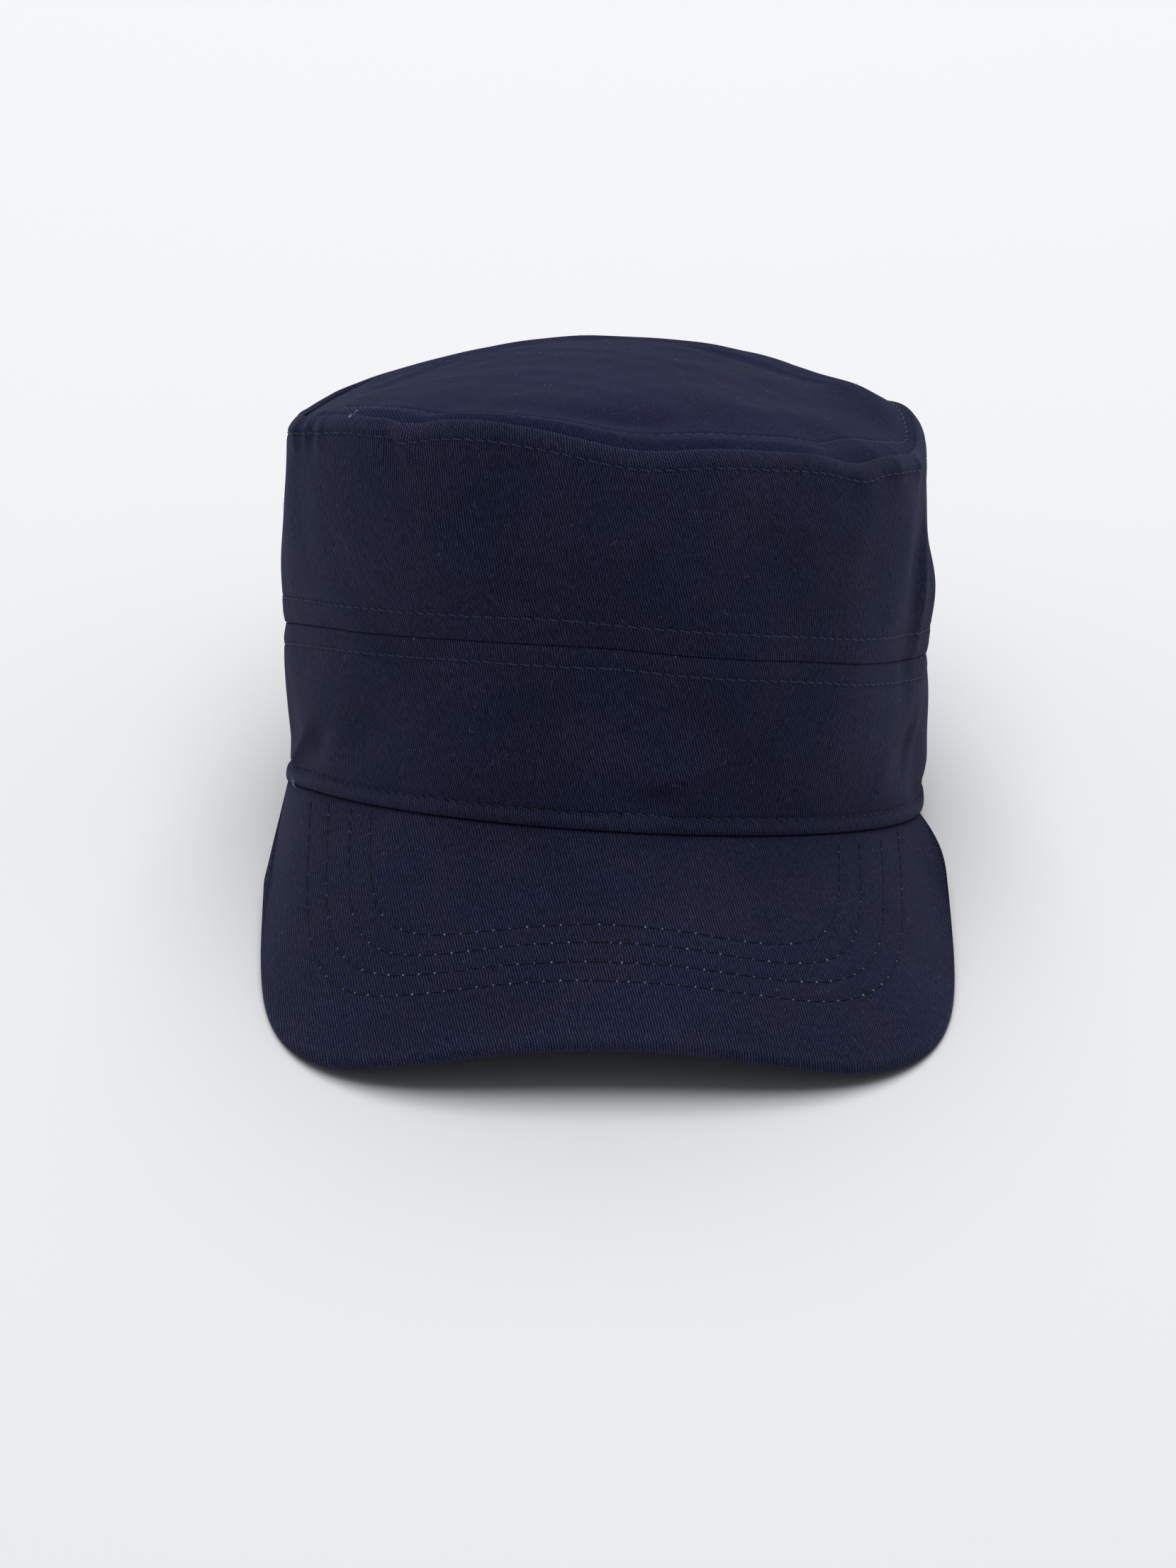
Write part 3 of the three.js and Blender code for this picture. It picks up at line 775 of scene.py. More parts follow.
# The oval top. One piece of twill, sewn in just inside the wall's folded edge. A row of stitches holds its seam
# flat, and behind it the seam's layers prop the cloth up into a low ridge.
TOP_DOME = 7
TOP_STEP = 1.2
TOP_RIDGE = 2
RIDGE_REACH = 9
TOP_ROW_FRONT = 7.6
TOP_ROW_SIDE = 1.5
TOP_CREST = 1.9
TOP_CREST_IN = 14
TOP_CREST_WIDE = 8
TOP_TUCK = 0.4
TOP_SLACK = 0.55
TOP_SLACK_START = (4, 24)
TOP_SLACK_LENGTH = 60
TOP_EDGE_WIDE = 3
TOP_EDGE_DROP = 2.6
BACK_EDGE_DROP = 0.2
TOP_STRIP_RISE = 0.6
TOP_TUCKED_OUT = 1.0
CREASES_REACH_IN = 12
TOP_RINGS = 120
TOP_UNDER_RINGS = 26
TOP_RINGS_CROWD = 1.25
TOP_ROUND_START = 0.992
TOP_THREAD = 0.27
TOP_HOLE = 0.45
TOP_HOLE_PROUD = 0.16
UPWARD = np.array([0.0, 0.0, 1.0])
SHARE_STEP = 0.004
ROW_SHEEN_AND_WEAR, ROW_SHEEN_AND_WEAR_IN, ROW_SHEEN_AND_WEAR_WIDE = 0.5, 1.5, 2.0

# Long creases and dents in the top. A row gives the angle; how far inside the edge it lies, in millimetres, and how
# much that grows for each degree; how wide it is in millimetres and how long in degrees; and how far out it goes.
TOP_CREASES = [
    (216, 30, 0.45, 2.6, 24, 0.8),
    (226, 42, 0.3, 5, 22, 0.6),
    (316, 27, -0.5, 2.4, 26, 0.9),
    (318, 34, -0.5, 4, 22, -0.7),
    (300, 48, -0.2, 6, 20, 0.5),
    (100, 17, 0, 7, 34, -0.5),
    (82, 15, 0, 4.5, 11, -1.1),
    (40, 22, 0.2, 5, 12, 0.6),
    (336, 9, 0, 7, 24, 3.2),
    (204, 9, 0, 7, 20, 1.6),
    (357, 4.5, 0, 4, 13, 1.4),
]


def top_edge(angle, sagging):
    """The top's edge: the wall's top edge, moved in past its cloth and down by TOP_STEP."""
    reach = CLOTH + SEAM_GAP + TOP_STEP * np.sin(CROWN_LEAN)
    return crown_face(angle, 2.0, sagging) - outward(angle) * reach - np.array([0, 0, TOP_STEP])


TOP_FRONT, TOP_BACK = top_edge(np.array([np.pi / 2, -np.pi / 2]), 0.0)
TOP_CENTRE = (TOP_FRONT + TOP_BACK) / 2
TOP_SLOPE = (TOP_FRONT[2] - TOP_BACK[2]) / (TOP_FRONT[1] - TOP_BACK[1])


def behind(angle):
    """1 at the back of the crown, falling as a sine to 0 at its front."""
    return 0.5 - 0.5 * np.sin(angle)


def top_face(angle, share):
    """The oval top, from its centre at share 0 to its edge at 1: slanted, domed, ridged and sunk there."""
    angle, share = np.broadcast_arrays(np.asarray(angle, float), np.asarray(share, float))
    level = top_edge(angle, 0.0)
    sunk = top_edge(angle, 1.0) - level
    off_plane = level[..., 2] - TOP_CENTRE[2] - TOP_SLOPE * (level[..., 1] - TOP_CENTRE[1])
    from_edge = (1 - share) * np.linalg.norm(level - TOP_CENTRE, axis=-1)
    ridge = TOP_RIDGE * behind(angle) * hump(from_edge - RIDGE_REACH / 2, RIDGE_REACH / 2)
    points = TOP_CENTRE + (level - TOP_CENTRE) * share[..., None] + sunk * (share**5)[..., None]
    points[..., 2] += TOP_DOME * (1 - share**3) + off_plane * (share**2 - share) + ridge
    return points


def from_top_edge(angle, share):
    """How far inside the top's edge a point is, in millimetres."""
    return (1 - share) * np.linalg.norm(top_edge(angle, 0.0) - TOP_CENTRE, axis=-1)


def row_in(angle):
    """How far inside the edge the top's stitches run. Its sides roll over, so the row comes nearer the edge there."""
    away_from_sides = ramp(np.sin(angle), 0, 0.55) + ramp(-np.sin(angle), 0.55, 0.95)
    return TOP_ROW_SIDE + (TOP_ROW_FRONT - TOP_ROW_SIDE) * away_from_sides


def top_cloth(angle, share):
    """The finished top: the plain one with its stitched strip, creases and slack, and at its back a crest further
    in. Its edge is carried out with the wall's creases until it is tucked into the wall, and turned down there."""
    plain = top_face(angle, share)
    angle, share = np.broadcast_arrays(np.asarray(angle, float), np.asarray(share, float))
    in_by, row, degrees = from_top_edge(angle, share), row_in(angle), np.degrees(angle)
    relief = STRIP_PROUD * past_row(row - in_by) - 2 * GROOVE_DEPTH * hump(in_by - row, GROOVE_REACH)
    relief = relief + PUCKER * ripple(angle, 11) * hump(in_by - row, PUCKER_REACH)
    relief = relief + TOP_STRIP_RISE * ramp(np.sin(angle), 0, 0.6) * (1 - ramp(in_by / row, 0.2, 1))
    crest, ridge = hump(in_by - TOP_CREST_IN, TOP_CREST_WIDE), hump(in_by - RIDGE_REACH / 2, RIDGE_REACH / 2)
    relief = relief + behind(angle) * (TOP_CREST * crest - TOP_RIDGE * ridge)
    slack = TOP_SLACK * wander(plain, TOP_SLACK_LENGTH, 3) + RUMPLE * wander(plain, RUMPLE_LENGTH, 4)
    relief = relief + slack * ramp(in_by, *TOP_SLACK_START)
    for place, inside, drift, wide, span, out in TOP_CREASES:
        away = turn_between(degrees, place)
        relief = relief + out * hump(away, span) * hump(in_by - (inside + drift * away), wide)
    near_edge = 1 - np.clip(in_by / TOP_EDGE_WIDE, 0, 1)
    drop = TOP_EDGE_DROP * (BACK_EDGE_DROP + (1 - BACK_EDGE_DROP) * in_front(angle))
    plain[..., 2] += relief + TOP_TUCK * ramp(in_by, 6, 1) - drop * near_edge**2
    pushed = fold_relief(angle, np.full_like(angle, 2.0), CREASES) * ramp(in_by, CREASES_REACH_IN, 0)
    reach = SEAM_GAP + TOP_STEP * np.sin(CROWN_LEAN) - SEWN_GAP + TOP_TUCKED_OUT + edge_stand(angle)
    return plain + outward(angle) * (reach * near_edge**2 + pushed)[..., None]


def top_normals(angle, share):
    """The directions out of the finished top."""
    return normals(top_cloth, angle, share, TURN_STEP, SHARE_STEP, UPWARD)


def top_panel_mesh():
    """A disc of rings from the centre to the edge, rounded over it, and back to the centre under the cloth."""
    angle = np.linspace(0, 2 * np.pi, AROUND, endpoint=False)
    upper = TOP_ROUND_START * (1 - np.linspace(1, 0.0, TOP_RINGS) ** TOP_RINGS_CROWD)
    under = np.linspace(TOP_ROUND_START, 0, TOP_UNDER_RINGS)
    arc = np.linspace(0, np.pi, 7)[1:-1]
    shares = np.concatenate([upper, TOP_ROUND_START + (1 - TOP_ROUND_START) * np.sin(arc), under])
    drops = np.concatenate([0 * upper, CLOTH / 2 * (1 - np.cos(arc)), 0 * under + CLOTH])
    angles, shares = np.meshgrid(angle, shares, indexing="ij")
    points = top_cloth(angles, shares)
    points[..., 2] -= drops
    quads, i, j = grid_quads(*shares.shape, True, False)
    flat = points[i % AROUND, j]
    uv = np.stack([flat[..., 0], flat[..., 1] / np.cos(CROWN_LEAN)], axis=-1)
    # A band of painted sheen and wear just inside the stitch row
    rub = ROW_SHEEN_AND_WEAR * hump(from_top_edge(angles, shares) - row_in(angles) - ROW_SHEEN_AND_WEAR_IN, ROW_SHEEN_AND_WEAR_WIDE)
    return quad_mesh("top_panel_cloth", points.reshape(-1, 3), quads[:, ::-1], uv[:, ::-1], rub=rub)


def weld(piece, distance):
    """Joins the points of a mesh that lie within a distance of each other, as at a pole, and drops empty faces."""
    mesh = bmesh.new()
    mesh.from_mesh(piece.data)
    bmesh.ops.remove_doubles(mesh, verts=mesh.verts, dist=distance)
    bmesh.ops.recalc_face_normals(mesh, faces=mesh.faces)
    mesh.to_mesh(piece.data)
    mesh.free()


top_panel = top_panel_mesh()
weld(top_panel, 1e-6)
# The top's twill is the crown's cloth with its ribs painted darker, most in red and green: painted shade that holds
# down the strong light from above on it. Its valley colour is painted shade between the ribs.
top_twill = twill_material(
    "top_twill", (0.0135, 0.0195, 0.066), (0.0190, 0.0195, 0.060), (0.0020, 0.0025, 0.0140), (0.05, 0.058, 0.115), 1.6
)
top_panel.data.materials.append(top_twill)
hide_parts("top_panel")
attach(top_panel, "root")


def top_share(angle, in_by):
    """The share of the way out at which the top is so far inside its edge."""
    return 1 - in_by / np.linalg.norm(top_edge(angle, 0.0) - TOP_CENTRE, axis=-1)


def top_places(spread):
    """Points and upward normals of the top's row of stitches."""
    line = top_cloth(ROUND_IT, top_share(ROUND_IT, row_in(ROUND_IT)))
    angles = evenly(ROUND_IT, line, STITCH, spread)
    shares = top_share(angles, row_in(angles) + leaning(angles))
    return top_cloth(angles, shares), top_normals(angles, shares)


places, sides = lying_stitches(*top_places(STITCH_SPREAD), CLOTH, TOP_THREAD)
dress_as_thread(tubes("top_stitches", places, sides, TOP_THREAD), navy_thread)
places, sides = top_places(np.array([0.0]))
dress_as_thread(sunk_dots("top_needle_hole_shades", places[:, 0], sides[:, 0], TOP_HOLE, TOP_HOLE_PROUD), needle_shadow)

# The peak. A stiff board between two layers of twill, sewn under the band's hem. It is arched across, so it stands
# on its two front corners, and four rows of stitches quilt it parallel to its edge.
PEAK_THICKNESS = 3.2
PEAK_ARCH = 15.2
PEAK_CORNER = 0.85
PEAK_SIDE_RISE = 4.4
PEAK_ROOT_END = 0.1
PEAK_SQUARENESS = 4.1
PEAK_BOW_START = 55
PEAK_DRIFT = 1.8
ARCH_SHIFT = 3.6
PEAK_FRONT = CROWN_LENGTH / 2 + PEAK_REACH

# The stitched rows, from the outermost: how far in they run from the front edge, half the width between their
# sides, and how far their corners are drawn back, in millimetres. squareness is the power of their superellipse.
PEAK_ROWS = [
    {"in_by": 16.8, "half_width": 78.4, "drawn_back": 4.0, "squareness": 5.1},
    {"in_by": 21.9, "half_width": 73.2, "drawn_back": 3.5, "squareness": 5.0},
    {"in_by": 27.2, "half_width": 67.0, "drawn_back": 1.8, "squareness": 4.9},
    {"in_by": 32.0, "half_width": 61.4, "drawn_back": 0.7, "squareness": 4.5},
]
PEAK_COLUMNS = 440
PEAK_STEPS = 84
TIP_STEPS = 5
PEAK_QUILT = 0.05
PEAK_GROOVE = 2.6
QUILT_CREST = 2.6
QUILT_CREST_WIDE = 2.0
PEAK_SLACK = 0.1
PEAK_SLACK_LENGTH = 24
PEAK_SIDE_BOW = 2.0
PEAK_BOW_FROM = 0.84
PEAK_TAPER = 0.6
PEAK_TAPER_FROM = 0.8
PEAK_ROOT_FADE = 0.08
PEAK_SHEEN_AND_WEAR = 0.7
PEAK_SHEEN_AND_WEAR_WIDE = 0.05
ALONG_STEP = 0.002
NEWTON_STEP = 1e-5


def peak_root(along, inset=0.0):
    """The line under the rim that the peak is sewn to, from along -1 at -X to 1 at +X."""
    angle = np.pi / 2 - along * (np.pi / 2 - np.arcsin(PEAK_ROOT_END))
    inset = np.broadcast_to(inset, angle.shape)
    return rim_point(angle, 0) - outward(angle) * inset[..., None] - np.array([0, 0, SEAM_GAP])


def raised_edge(along):
    """The peak's outer edge: a superellipse from above, arched between its corners, its sides rising backwards."""
    angle = (along + 1) / 2 * np.pi
    across, ahead = -np.cos(angle), np.clip(np.sin(angle), 0, 1)
    power = 2 / PEAK_SQUARENESS
    x = PEAK_WIDTH / 2 * np.sign(across) * np.abs(across) ** power
    y = -PEAK_BOW_START - (PEAK_FRONT - PEAK_BOW_START) * ahead**power
    from_arch = np.abs(x + ARCH_SHIFT * (1 - (2 * x / PEAK_WIDTH) ** 2))
    to_corner = from_arch / (PEAK_CORNER * PEAK_WIDTH / 2)
    arched = 1 - to_corner**2 / (1 + to_corner**8) ** 0.25
    back = (PEAK_FRONT + y) / (PEAK_FRONT - PEAK_BOW_START)
    z = PEAK_THICKNESS + PEAK_ARCH * arched + PEAK_SIDE_RISE * back**3
    return np.stack([x + PEAK_DRIFT * ahead**power, y, z], axis=-1)


def edge_round(along):
    """The share of the way from root to edge that the half-round edge takes up."""
    return PEAK_THICKNESS / 2 / np.linalg.norm(raised_edge(along) - peak_root(along), axis=-1)


settling = np.linspace(-1, 1, 101)
rounding = edge_round(settling)
lowest = raised_edge(settling)[:, 2] * (1 - rounding) + peak_root(settling)[:, 2] * rounding
PEAK_SETTLE = lowest.min() - PEAK_THICKNESS


def peak_face(along, share):
    """The peak's plain upper face, ruled from its root at share 0 to its edge at share 1."""
    along, share = np.broadcast_arrays(np.asarray(along, float), np.asarray(share, float))
    edge = raised_edge(along) - np.array([0, 0, PEAK_SETTLE])
    return peak_root(along) * (1 - share)[..., None] + edge * share[..., None]


def row_start(row):
    """How far ahead of the cap's middle a stitched row starts, just under the rim's oval."""
    return CROWN_LENGTH / 2 * np.sqrt(1 - (row["half_width"] / (CROWN_WIDTH / 2)) ** 2) - 4


def row_reach(x, y, row):
    """How far a point seen from above is outside a stitched row: the row is where the superellipse
    (|x| / half_width) ^ n + (ahead / reach) ^ n is 1, and its value is turned to millimetres by its slope."""
    start = row_start(row)
    reach, power = PEAK_FRONT - row["in_by"] - start, row["squareness"]
    side, ahead = np.abs(x) / row["half_width"], np.maximum(0, -y - start) / reach
    ahead = ahead + row["drawn_back"] / reach * side**2 * np.minimum(ahead, 1)
    total = side**power + ahead**power + 1e-9
    value = total ** (1 / power)
    steepness = np.hypot(side ** (power - 1) / row["half_width"], ahead ** (power - 1) / reach)
    return (value - 1) / np.maximum(total ** (1 / power - 1) * steepness, 1e-4)


def peak_cloth(along, share):
    """The finished upper face: quilted between its stitched rows, with a little slack, and bowed out at +X as a half
    sine from its root to its edge."""
    plain = peak_face(along, share)
    plain[..., 0] += PEAK_SIDE_BOW * ramp(along, PEAK_BOW_FROM, 1) * np.sin(np.pi * np.clip(share, 0, 1)) ** 0.8
    relief = PEAK_SLACK * wander(plain, PEAK_SLACK_LENGTH, 5)
    for row in PEAK_ROWS:
        away = row_reach(plain[..., 0], plain[..., 1], row)
        crest = hump(np.abs(away) - QUILT_CREST, QUILT_CREST_WIDE)
        relief = relief - PEAK_QUILT * PEAK_GROOVE * hump(away, GROOVE_REACH) + PEAK_QUILT * crest
    plain[..., 2] += relief * ramp(share, 0, PEAK_ROOT_FADE)
    return plain


def peak_normals(along, share):
    """The directions out of the peak's finished upper face."""
    return normals(peak_cloth, along, share, ALONG_STEP, SHARE_STEP, UPWARD)


def laid_flat(along):
    """The peak's root and rulings laid flat, as its cloth was cut. From one ruling to the next, the flat direction
    turns by the angle from the ruling to the root line, less the angle from the next ruling to it; the middle one
    keeps its place. It gives the flat root points, the rulings' flat directions and their lengths."""
    root = peak_root(along)
    rule = raised_edge(along) - np.array([0, 0, PEAK_SETTLE]) - root
    step, length = np.diff(root, axis=0), np.linalg.norm(rule, axis=1)
    way, rule = unit(step), unit(rule)
    before = np.arccos(np.clip(np.sum(rule[:-1] * way, axis=1), -1, 1))
    after = np.arccos(np.clip(np.sum(rule[1:] * way, axis=1), -1, 1))
    heading = np.concatenate([[0], np.cumsum(before - after)])
    middle = len(along) // 2
    heading = heading - heading[middle] + np.arctan2(rule[middle, 1], rule[middle, 0])
    step_heading = heading[:-1] + before
    steps = np.stack([np.cos(step_heading), np.sin(step_heading)], axis=-1) * np.linalg.norm(step, axis=1)[:, None]
    flat_root = np.concatenate([np.zeros((1, 2)), np.cumsum(steps, axis=0)])
    flat_root = flat_root - flat_root[middle] + root[middle, :2]
    return flat_root, np.stack([np.cos(heading), np.sin(heading)], axis=-1), length


def peak_mesh():
    """A slab with a half-round outer edge. Towards each end it grows thinner and closes on a half-round tip. Its uv
    is its cloth laid flat: the flat root, carried so far along each flat ruling and over half of the edge."""
    along = np.linspace(-1, 1, PEAK_COLUMNS)
    tips = np.linspace(0, np.pi / 2, TIP_STEPS + 1)[1:]
    along = np.concatenate([np.full(TIP_STEPS, -1.0), along, np.full(TIP_STEPS, 1.0)])
    thin = np.concatenate([np.cos(tips)[::-1], np.ones(PEAK_COLUMNS), np.cos(tips)])
    thick = PEAK_THICKNESS * (1 - PEAK_TAPER * ramp(np.abs(along), PEAK_TAPER_FROM, 1))
    shift = thick / 2 * np.concatenate([np.sin(tips)[::-1], np.zeros(PEAK_COLUMNS), np.sin(tips)])
    upper = np.linspace(0, 1, PEAK_STEPS)
    turn = np.linspace(np.pi / 2, -np.pi / 2, 11)[1:-1]
    flat_shares = np.concatenate([upper, np.ones(len(turn)), upper[::-1]]) * (1 - edge_round(along))[:, None]
    none = np.zeros(PEAK_STEPS)
    shares = flat_shares + np.concatenate([none, np.cos(turn), none]) * edge_round(along)[:, None]
    depth = 1 - np.concatenate([none + 1, np.sin(turn), none - 1])
    alongs = np.broadcast_to(along[:, None], shares.shape)
    points = peak_cloth(alongs, shares)
    points[..., 2] -= thick[:, None] / 2 * (1 - thin[:, None] + depth * thin[:, None])
    inner = peak_root(along, CLOTH)
    inner_low = inner.copy()
    inner[:, 2] -= thick / 2 * (1 - thin)
    inner_low[:, 2] -= thick / 2 * (1 + thin)
    points = np.concatenate([inner[:, None], points, inner_low[:, None]], axis=1)
    points[:, :, 1] += shift[:, None]
    quads, i, j = grid_quads(len(along), points.shape[1], False, True)
    flat_root, flat_way, length = laid_flat(along)
    wrapped = np.concatenate([none, np.pi / 2 - np.abs(turn), none])
    reach = flat_shares * length[:, None] + PEAK_THICKNESS / 2 * wrapped
    inside = np.full((len(along), 1), -CLOTH)
    reach = np.concatenate([inside, reach, inside, inside - PEAK_THICKNESS], axis=1)
    flat = flat_root[:, None] + flat_way[:, None] * reach[..., None]
    # Painted sheen and wear along the peak's rounded edge
    rub = np.zeros(points.shape[:2])
    rub[:, 1:-1] = PEAK_SHEEN_AND_WEAR * hump(1 - shares, PEAK_SHEEN_AND_WEAR_WIDE)
    return quad_mesh("peak_cloth", points.reshape(-1, 3), quads, flat[i, j], rub=rub)


peak = peak_mesh()
weld(peak, 1e-6)
# The peak's twill, whose valley colour is again painted shade between the ribs
peak_twill = twill_material(
    "peak_twill", (0.0275, 0.0355, 0.079), (0.0355, 0.0355, 0.072), (0.0022, 0.0028, 0.0165), SHEEN_AND_WEAR_COLOUR, MOTTLE
)
peak.data.materials.append(peak_twill)
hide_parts("peak")
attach(peak, "root")


def peak_place(x, y):
    """Where on the peak's face a point of the plan lies: the nearest of a grid of places, then Newton's method."""
    grid_along, grid_share = np.meshgrid(np.linspace(-0.98, 0.98, 99), np.linspace(0, 0.96, 33), indexing="ij")
    grid = peak_face(grid_along, grid_share).reshape(-1, 3)
    nearest = np.argmin((grid[:, 0] - x[:, None]) ** 2 + (grid[:, 1] - y[:, None]) ** 2, axis=1)
    along, share = grid_along.ravel()[nearest], grid_share.ravel()[nearest]
    for _ in range(8):
        here = peak_face(along, share)
        by_along = (peak_face(along + NEWTON_STEP, share) - here) / NEWTON_STEP
        by_share = (peak_face(along, share + NEWTON_STEP) - here) / NEWTON_STEP
        miss_x, miss_y = x - here[:, 0], y - here[:, 1]
        turn = by_along[:, 0] * by_share[:, 1] - by_along[:, 1] * by_share[:, 0]
        along = along + (miss_x * by_share[:, 1] - miss_y * by_share[:, 0]) / turn
        share = share + (by_along[:, 0] * miss_y - by_along[:, 1] * miss_x) / turn
        along, share = np.clip(along, -0.999, 0.999), np.clip(share, -0.05, 0.99)
    return along, share


PEAK_THREAD = 0.2
PEAK_STITCH = 4.3
UNDER_BAND = 0.015


def peak_row_places(row, spread):
    """Along and share of the stitches of one row: x and ahead are powers of a cosine and a sine, and the stitches
    that would lie under the band are left out."""
    start = row_start(row)
    turn = np.linspace(0.0005, np.pi - 0.0005, 1500)
    power = 2 / row["squareness"]
    side = -np.sign(np.cos(turn)) * np.abs(np.cos(turn)) ** power
    x = row["half_width"] * side
    y = -start - (PEAK_FRONT - row["in_by"] - start - row["drawn_back"] * side**2) * np.sin(turn) ** power
    along, share = peak_place(x, y)
    line = peak_face(along, share)
    steps = evenly(np.arange(len(turn)), line, PEAK_STITCH, spread)
    along, share = (np.interp(steps, np.arange(len(turn)), values) for values in (along, share))
    seen = share.min(axis=1) > UNDER_BAND
    return along[seen], share[seen]


def peak_row_points(spread):
    """Points and upward normals of all the peak's stitches."""
    alongs, shares = (np.concatenate(parts) for parts in zip(*(peak_row_places(row, spread) for row in PEAK_ROWS)))
    return peak_cloth(alongs, shares), peak_normals(alongs, shares)


places, sides = lying_stitches(*peak_row_points(STITCH_SPREAD), PEAK_THICKNESS, PEAK_THREAD)
dark_thread = thread_material("dark_thread", (0.006, 0.009, 0.026), (0.002, 0.003, 0.009), sheen=0.05)
dress_as_thread(tubes("peak_stitches", places, sides, PEAK_THREAD), dark_thread)

# Pale specks of the backing thread, drawn up through the peak's needle holes: at all of them in front, and at fewer
# of them and smaller at its sides. A pair is how far ahead of the cap's middle the change starts and is complete.
NEEDLE_MARK = 0.3
MARK_SIZES = (0.45, 1.25)
MARK_PROUD = 0.12
SHOWN_AT_SIDES, SHOWN_AHEAD = 0.4, (95, 130)
SIZE_AT_SIDES, SIZE_AHEAD = 0.5, (90, 125)
places, sides = peak_row_points(np.array([0.0]))
places, sides, ahead = places[:, 0], sides[:, 0], -places[:, 0, 1]
chance = np.random.default_rng(21)
shown = chance.uniform(size=len(places)) < SHOWN_AT_SIDES + (1 - SHOWN_AT_SIDES) * ramp(ahead, *SHOWN_AHEAD)
mark_sizes = NEEDLE_MARK * chance.uniform(*MARK_SIZES, shown.sum())
mark_sizes = mark_sizes * (SIZE_AT_SIDES + (1 - SIZE_AT_SIDES) * ramp(ahead[shown], *SIZE_AHEAD))
dress_as_thread(sunk_dots("peak_needle_marks", places[shown], sides[shown], mark_sizes, MARK_PROUD), pale_thread)

# Lint and stray fibres that have settled on the cotton, and two loose ends of pale thread at the seams
LINT_FIBRES = 240
LINT_SPECKS = 1000
LINT_ON_CROWN, LINT_TO_TOP = 0.55, 0.78
FIBRE_WAVES, FIBRE_WAVE_TURN = 7, 0.9
FIBRE_LIFT, FIBRE_BOW, SPECK_LIFT = 0.07, 0.3, 0.3
FIBRE_GIRTHS = (0.6, 1.3)


def lint_places(count, seed):
    """Seeded places on the crown, the top and the peak, with their normals, in shares of about 5, 2 and 2."""
    chance = np.random.default_rng(seed)
    kind = chance.uniform(size=count)
    crown, top = kind < LINT_ON_CROWN, (kind >= LINT_ON_CROWN) & (kind < LINT_TO_TOP)
    first, second = chance.uniform(size=count), chance.uniform(size=count)
    rest = ~(crown | top)
    points, outs = np.zeros((count, 3)), np.zeros((count, 3))
    for part, face, out_of, places in [
        (crown, crown_cloth, crown_normals, (first[crown] * 2 * np.pi, 0.12 + 1.8 * second[crown])),
        (top, top_cloth, top_normals, (first[top] * 2 * np.pi, 0.94 * np.sqrt(second[top]))),
        (rest, peak_cloth, peak_normals, (1.9 * first[rest] - 0.95, 0.04 + 0.93 * second[rest])),
    ]:
        points[part], outs[part] = face(*places), out_of(*places)
    return points, outs


def stray_fibres(name, points, outs, seed, length, radius, curl, steps):
    """Fibres that lie on the cloth: each turns and waves as it goes, or is straight where curl is 0, and lifts off a
    little in its middle."""
    chance = np.random.default_rng(seed)
    count = len(points)
    lengths = chance.uniform(*length, count)[:, None]
    share = np.linspace(0, 1, steps)[None, :]
    heading = chance.uniform(0, 2 * np.pi, count)[:, None] + chance.normal(0, curl, count)[:, None] * share
    waves = np.sin(share * FIBRE_WAVES + chance.uniform(0, 6, count)[:, None])
    heading = heading + FIBRE_WAVE_TURN * waves * (curl > 0)
    step = lengths / (steps - 1)
    a, b = np.cumsum(np.cos(heading) * step, axis=1), np.cumsum(np.sin(heading) * step, axis=1)
    first = unit(np.cross(outs, [0.2, 0.9, 0.35]))[:, None]
    second = np.cross(outs[:, None], first)
    lift = FIBRE_LIFT + FIBRE_BOW * chance.uniform(size=count)[:, None] * np.sin(np.pi * share)
    lift = lift * (1 if curl > 0 else SPECK_LIFT)
    paths = points[:, None] + first * a[..., None] + second * b[..., None] + outs[:, None] * lift[..., None]
    thin = radius * chance.uniform(*FIBRE_GIRTHS, count)[:, None] * (0.5 + 0.5 * np.sin(np.pi * share) ** 0.5)
    return tubes(name, paths, np.broadcast_to(outs[:, None], paths.shape), thin)


lint_cotton = thread_material("lint", (0.3, 0.33, 0.45), (0.14, 0.16, 0.24), sheen=0.0)
fibre = {"length": (0.8, 3.2), "radius": 0.022, "curl": 1.6, "steps": 8}
speck = {"length": (0.1, 0.3), "radius": 0.05, "curl": 0.0, "steps": 3}
tuft = {"length": (1.0, 2.8), "radius": 0.12, "curl": 3.0, "steps": 10}
dress_as_thread(stray_fibres("lint_fibres", *lint_places(LINT_FIBRES, 31), 32, **fibre), lint_cotton)
dress_as_thread(stray_fibres("lint_specks", *lint_places(LINT_SPECKS, 41), 42, **speck), lint_cotton)

TUFT_ANGLE = np.radians([159, 159.5, 160, 160.5, 161, 159, 160, 161, 137, 137, 137.5, 137.5, 137])
TUFT_LEVEL = np.array([0.02] * 8 + [1.99] * 5)
tuft_outs = crown_normals(TUFT_ANGLE, TUFT_LEVEL)
tuft_places = crown_cloth(TUFT_ANGLE, TUFT_LEVEL) + 0.15 * tuft_outs
dress_as_thread(stray_fibres("thread_ends", tuft_places, tuft_outs, 57, **tuft), pale_thread)

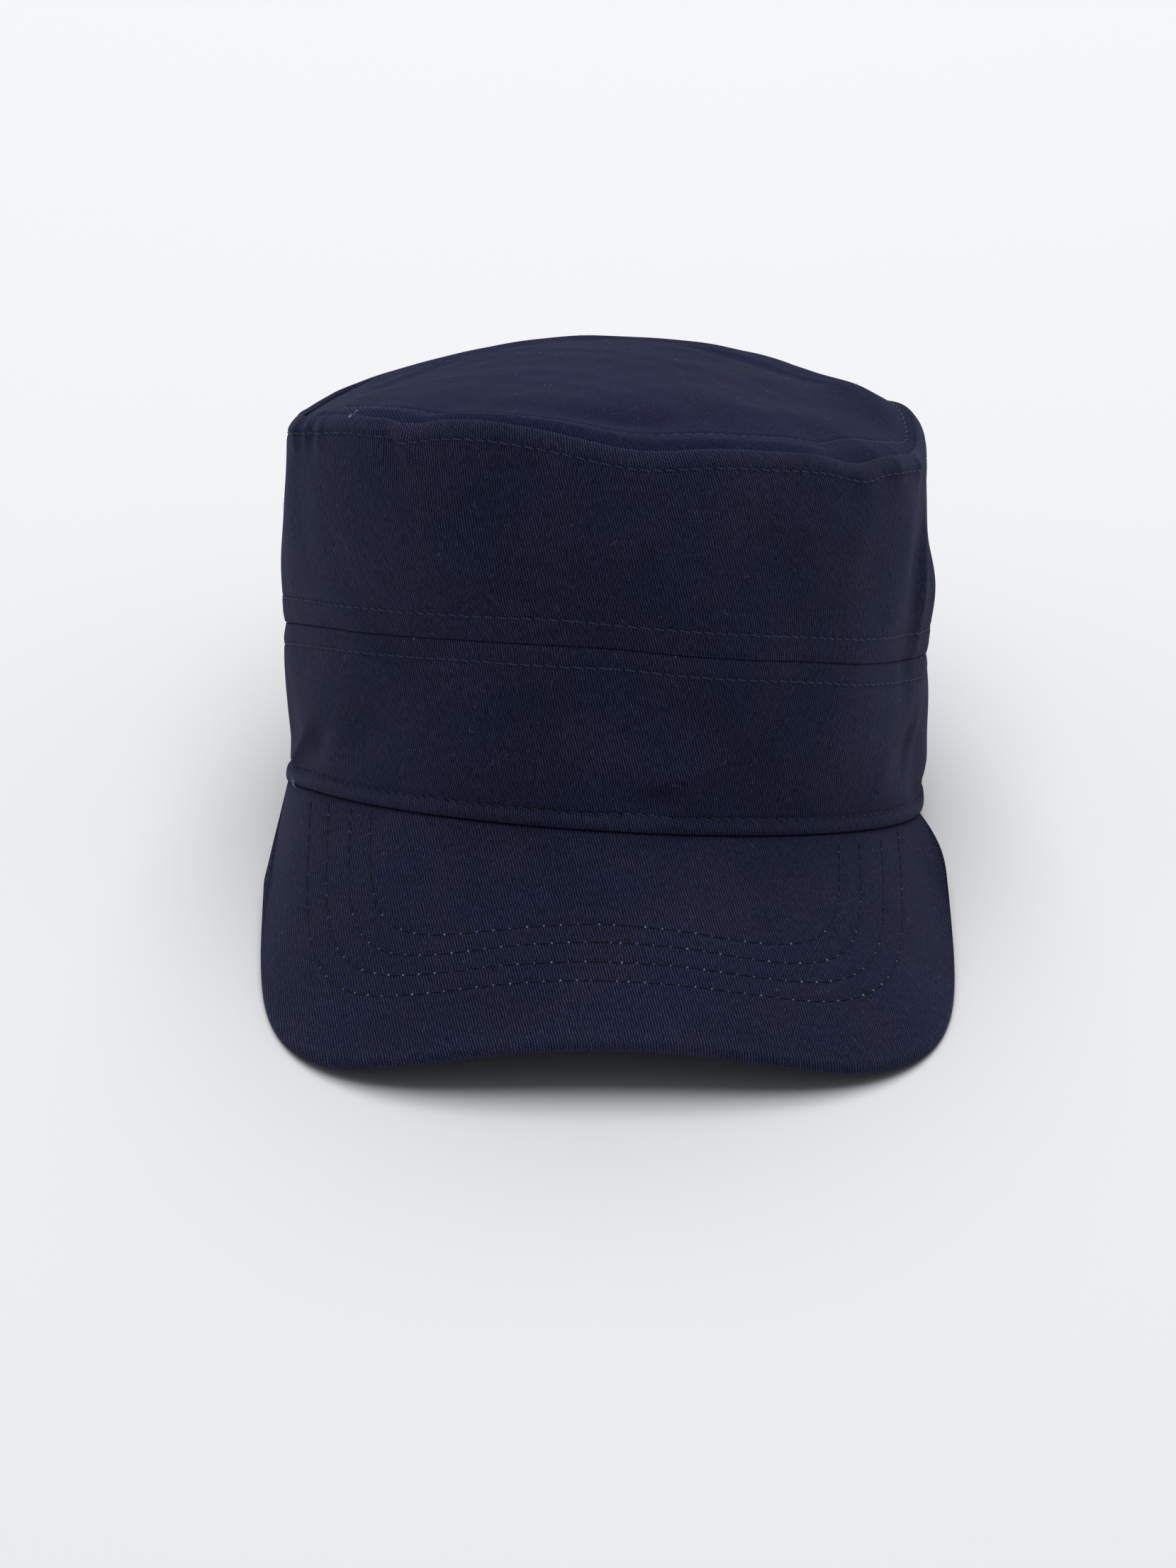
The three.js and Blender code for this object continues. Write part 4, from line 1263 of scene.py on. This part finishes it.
# The floor, the light and the camera. A pale flat floor, a bright even room, and soft light from above.
floor_mesh = bpy.data.meshes.new("floor")
floor_mesh.from_pydata([(-4, -4, 0), (4, -4, 0), (4, 4, 0), (-4, 4, 0)], [], [(0, 1, 2, 3)])
floor = bpy.data.objects.new("floor", floor_mesh)
bpy.context.collection.objects.link(floor)
pale = (0.905, 0.912, 0.928, 1)
floor_mesh.materials.append(new_material("pale_floor", Base_Color=pale, Roughness=0.9, Specular_IOR_Level=0.1)[0])

CAMERA_TARGET = Vector((SHIFT[0], SHIFT[1], SHIFT[2] + 0.06))
CAMERA_RAISE = np.radians(26.5)
CAMERA_AWAY = 1.6
CAMERA_DIP = np.radians(1.67)
CAMERA_TILT = np.radians(0.19)


def soft_light(name, place, size, power, colour):
    """A large square lamp that faces the cap."""
    lamp = bpy.data.lights.new(name, "AREA")
    lamp.shape, lamp.size, lamp.energy, lamp.color = "SQUARE", size, power, colour
    holder = bpy.data.objects.new(name, lamp)
    holder.location = place
    holder.rotation_euler = (CAMERA_TARGET - Vector(place)).to_track_quat("-Z", "Y").to_euler()
    bpy.context.collection.objects.link(holder)


soft_light("light_behind", (0, 2.1, 2.9), size=2.5, power=67, colour=(1, 0.99, 0.98))
soft_light("light_above", (0, -0.3, 3.3), size=2.8, power=50, colour=(0.98, 0.99, 1))
soft_light("light_left", (-1.2, -0.2, 1.3), size=0.9, power=0.9, colour=(0.98, 0.99, 1))
soft_light("light_right", (1.2, -0.2, 1.3), size=0.9, power=1.0, colour=(0.98, 0.99, 1))

room = bpy.data.worlds.new("room")
room.use_nodes = True
set_inputs(room.node_tree.nodes["Background"], {"Color": (0.96, 0.98, 1, 1), "Strength": 0.2})
scene = bpy.context.scene
scene.world = room
scene.view_settings.view_transform = "Standard"

camera_data = bpy.data.cameras.new("camera")
camera_data.lens = 135.4
camera_data.sensor_width = 36
camera_data.clip_start = 0.05
camera = bpy.data.objects.new("camera", camera_data)
camera.location = CAMERA_TARGET + CAMERA_AWAY * Vector((0, -np.cos(CAMERA_RAISE), np.sin(CAMERA_RAISE)))
camera.rotation_euler = (np.pi / 2 - CAMERA_DIP - CAMERA_RAISE, 0, CAMERA_TILT)
bpy.context.collection.objects.link(camera)
scene.camera = camera
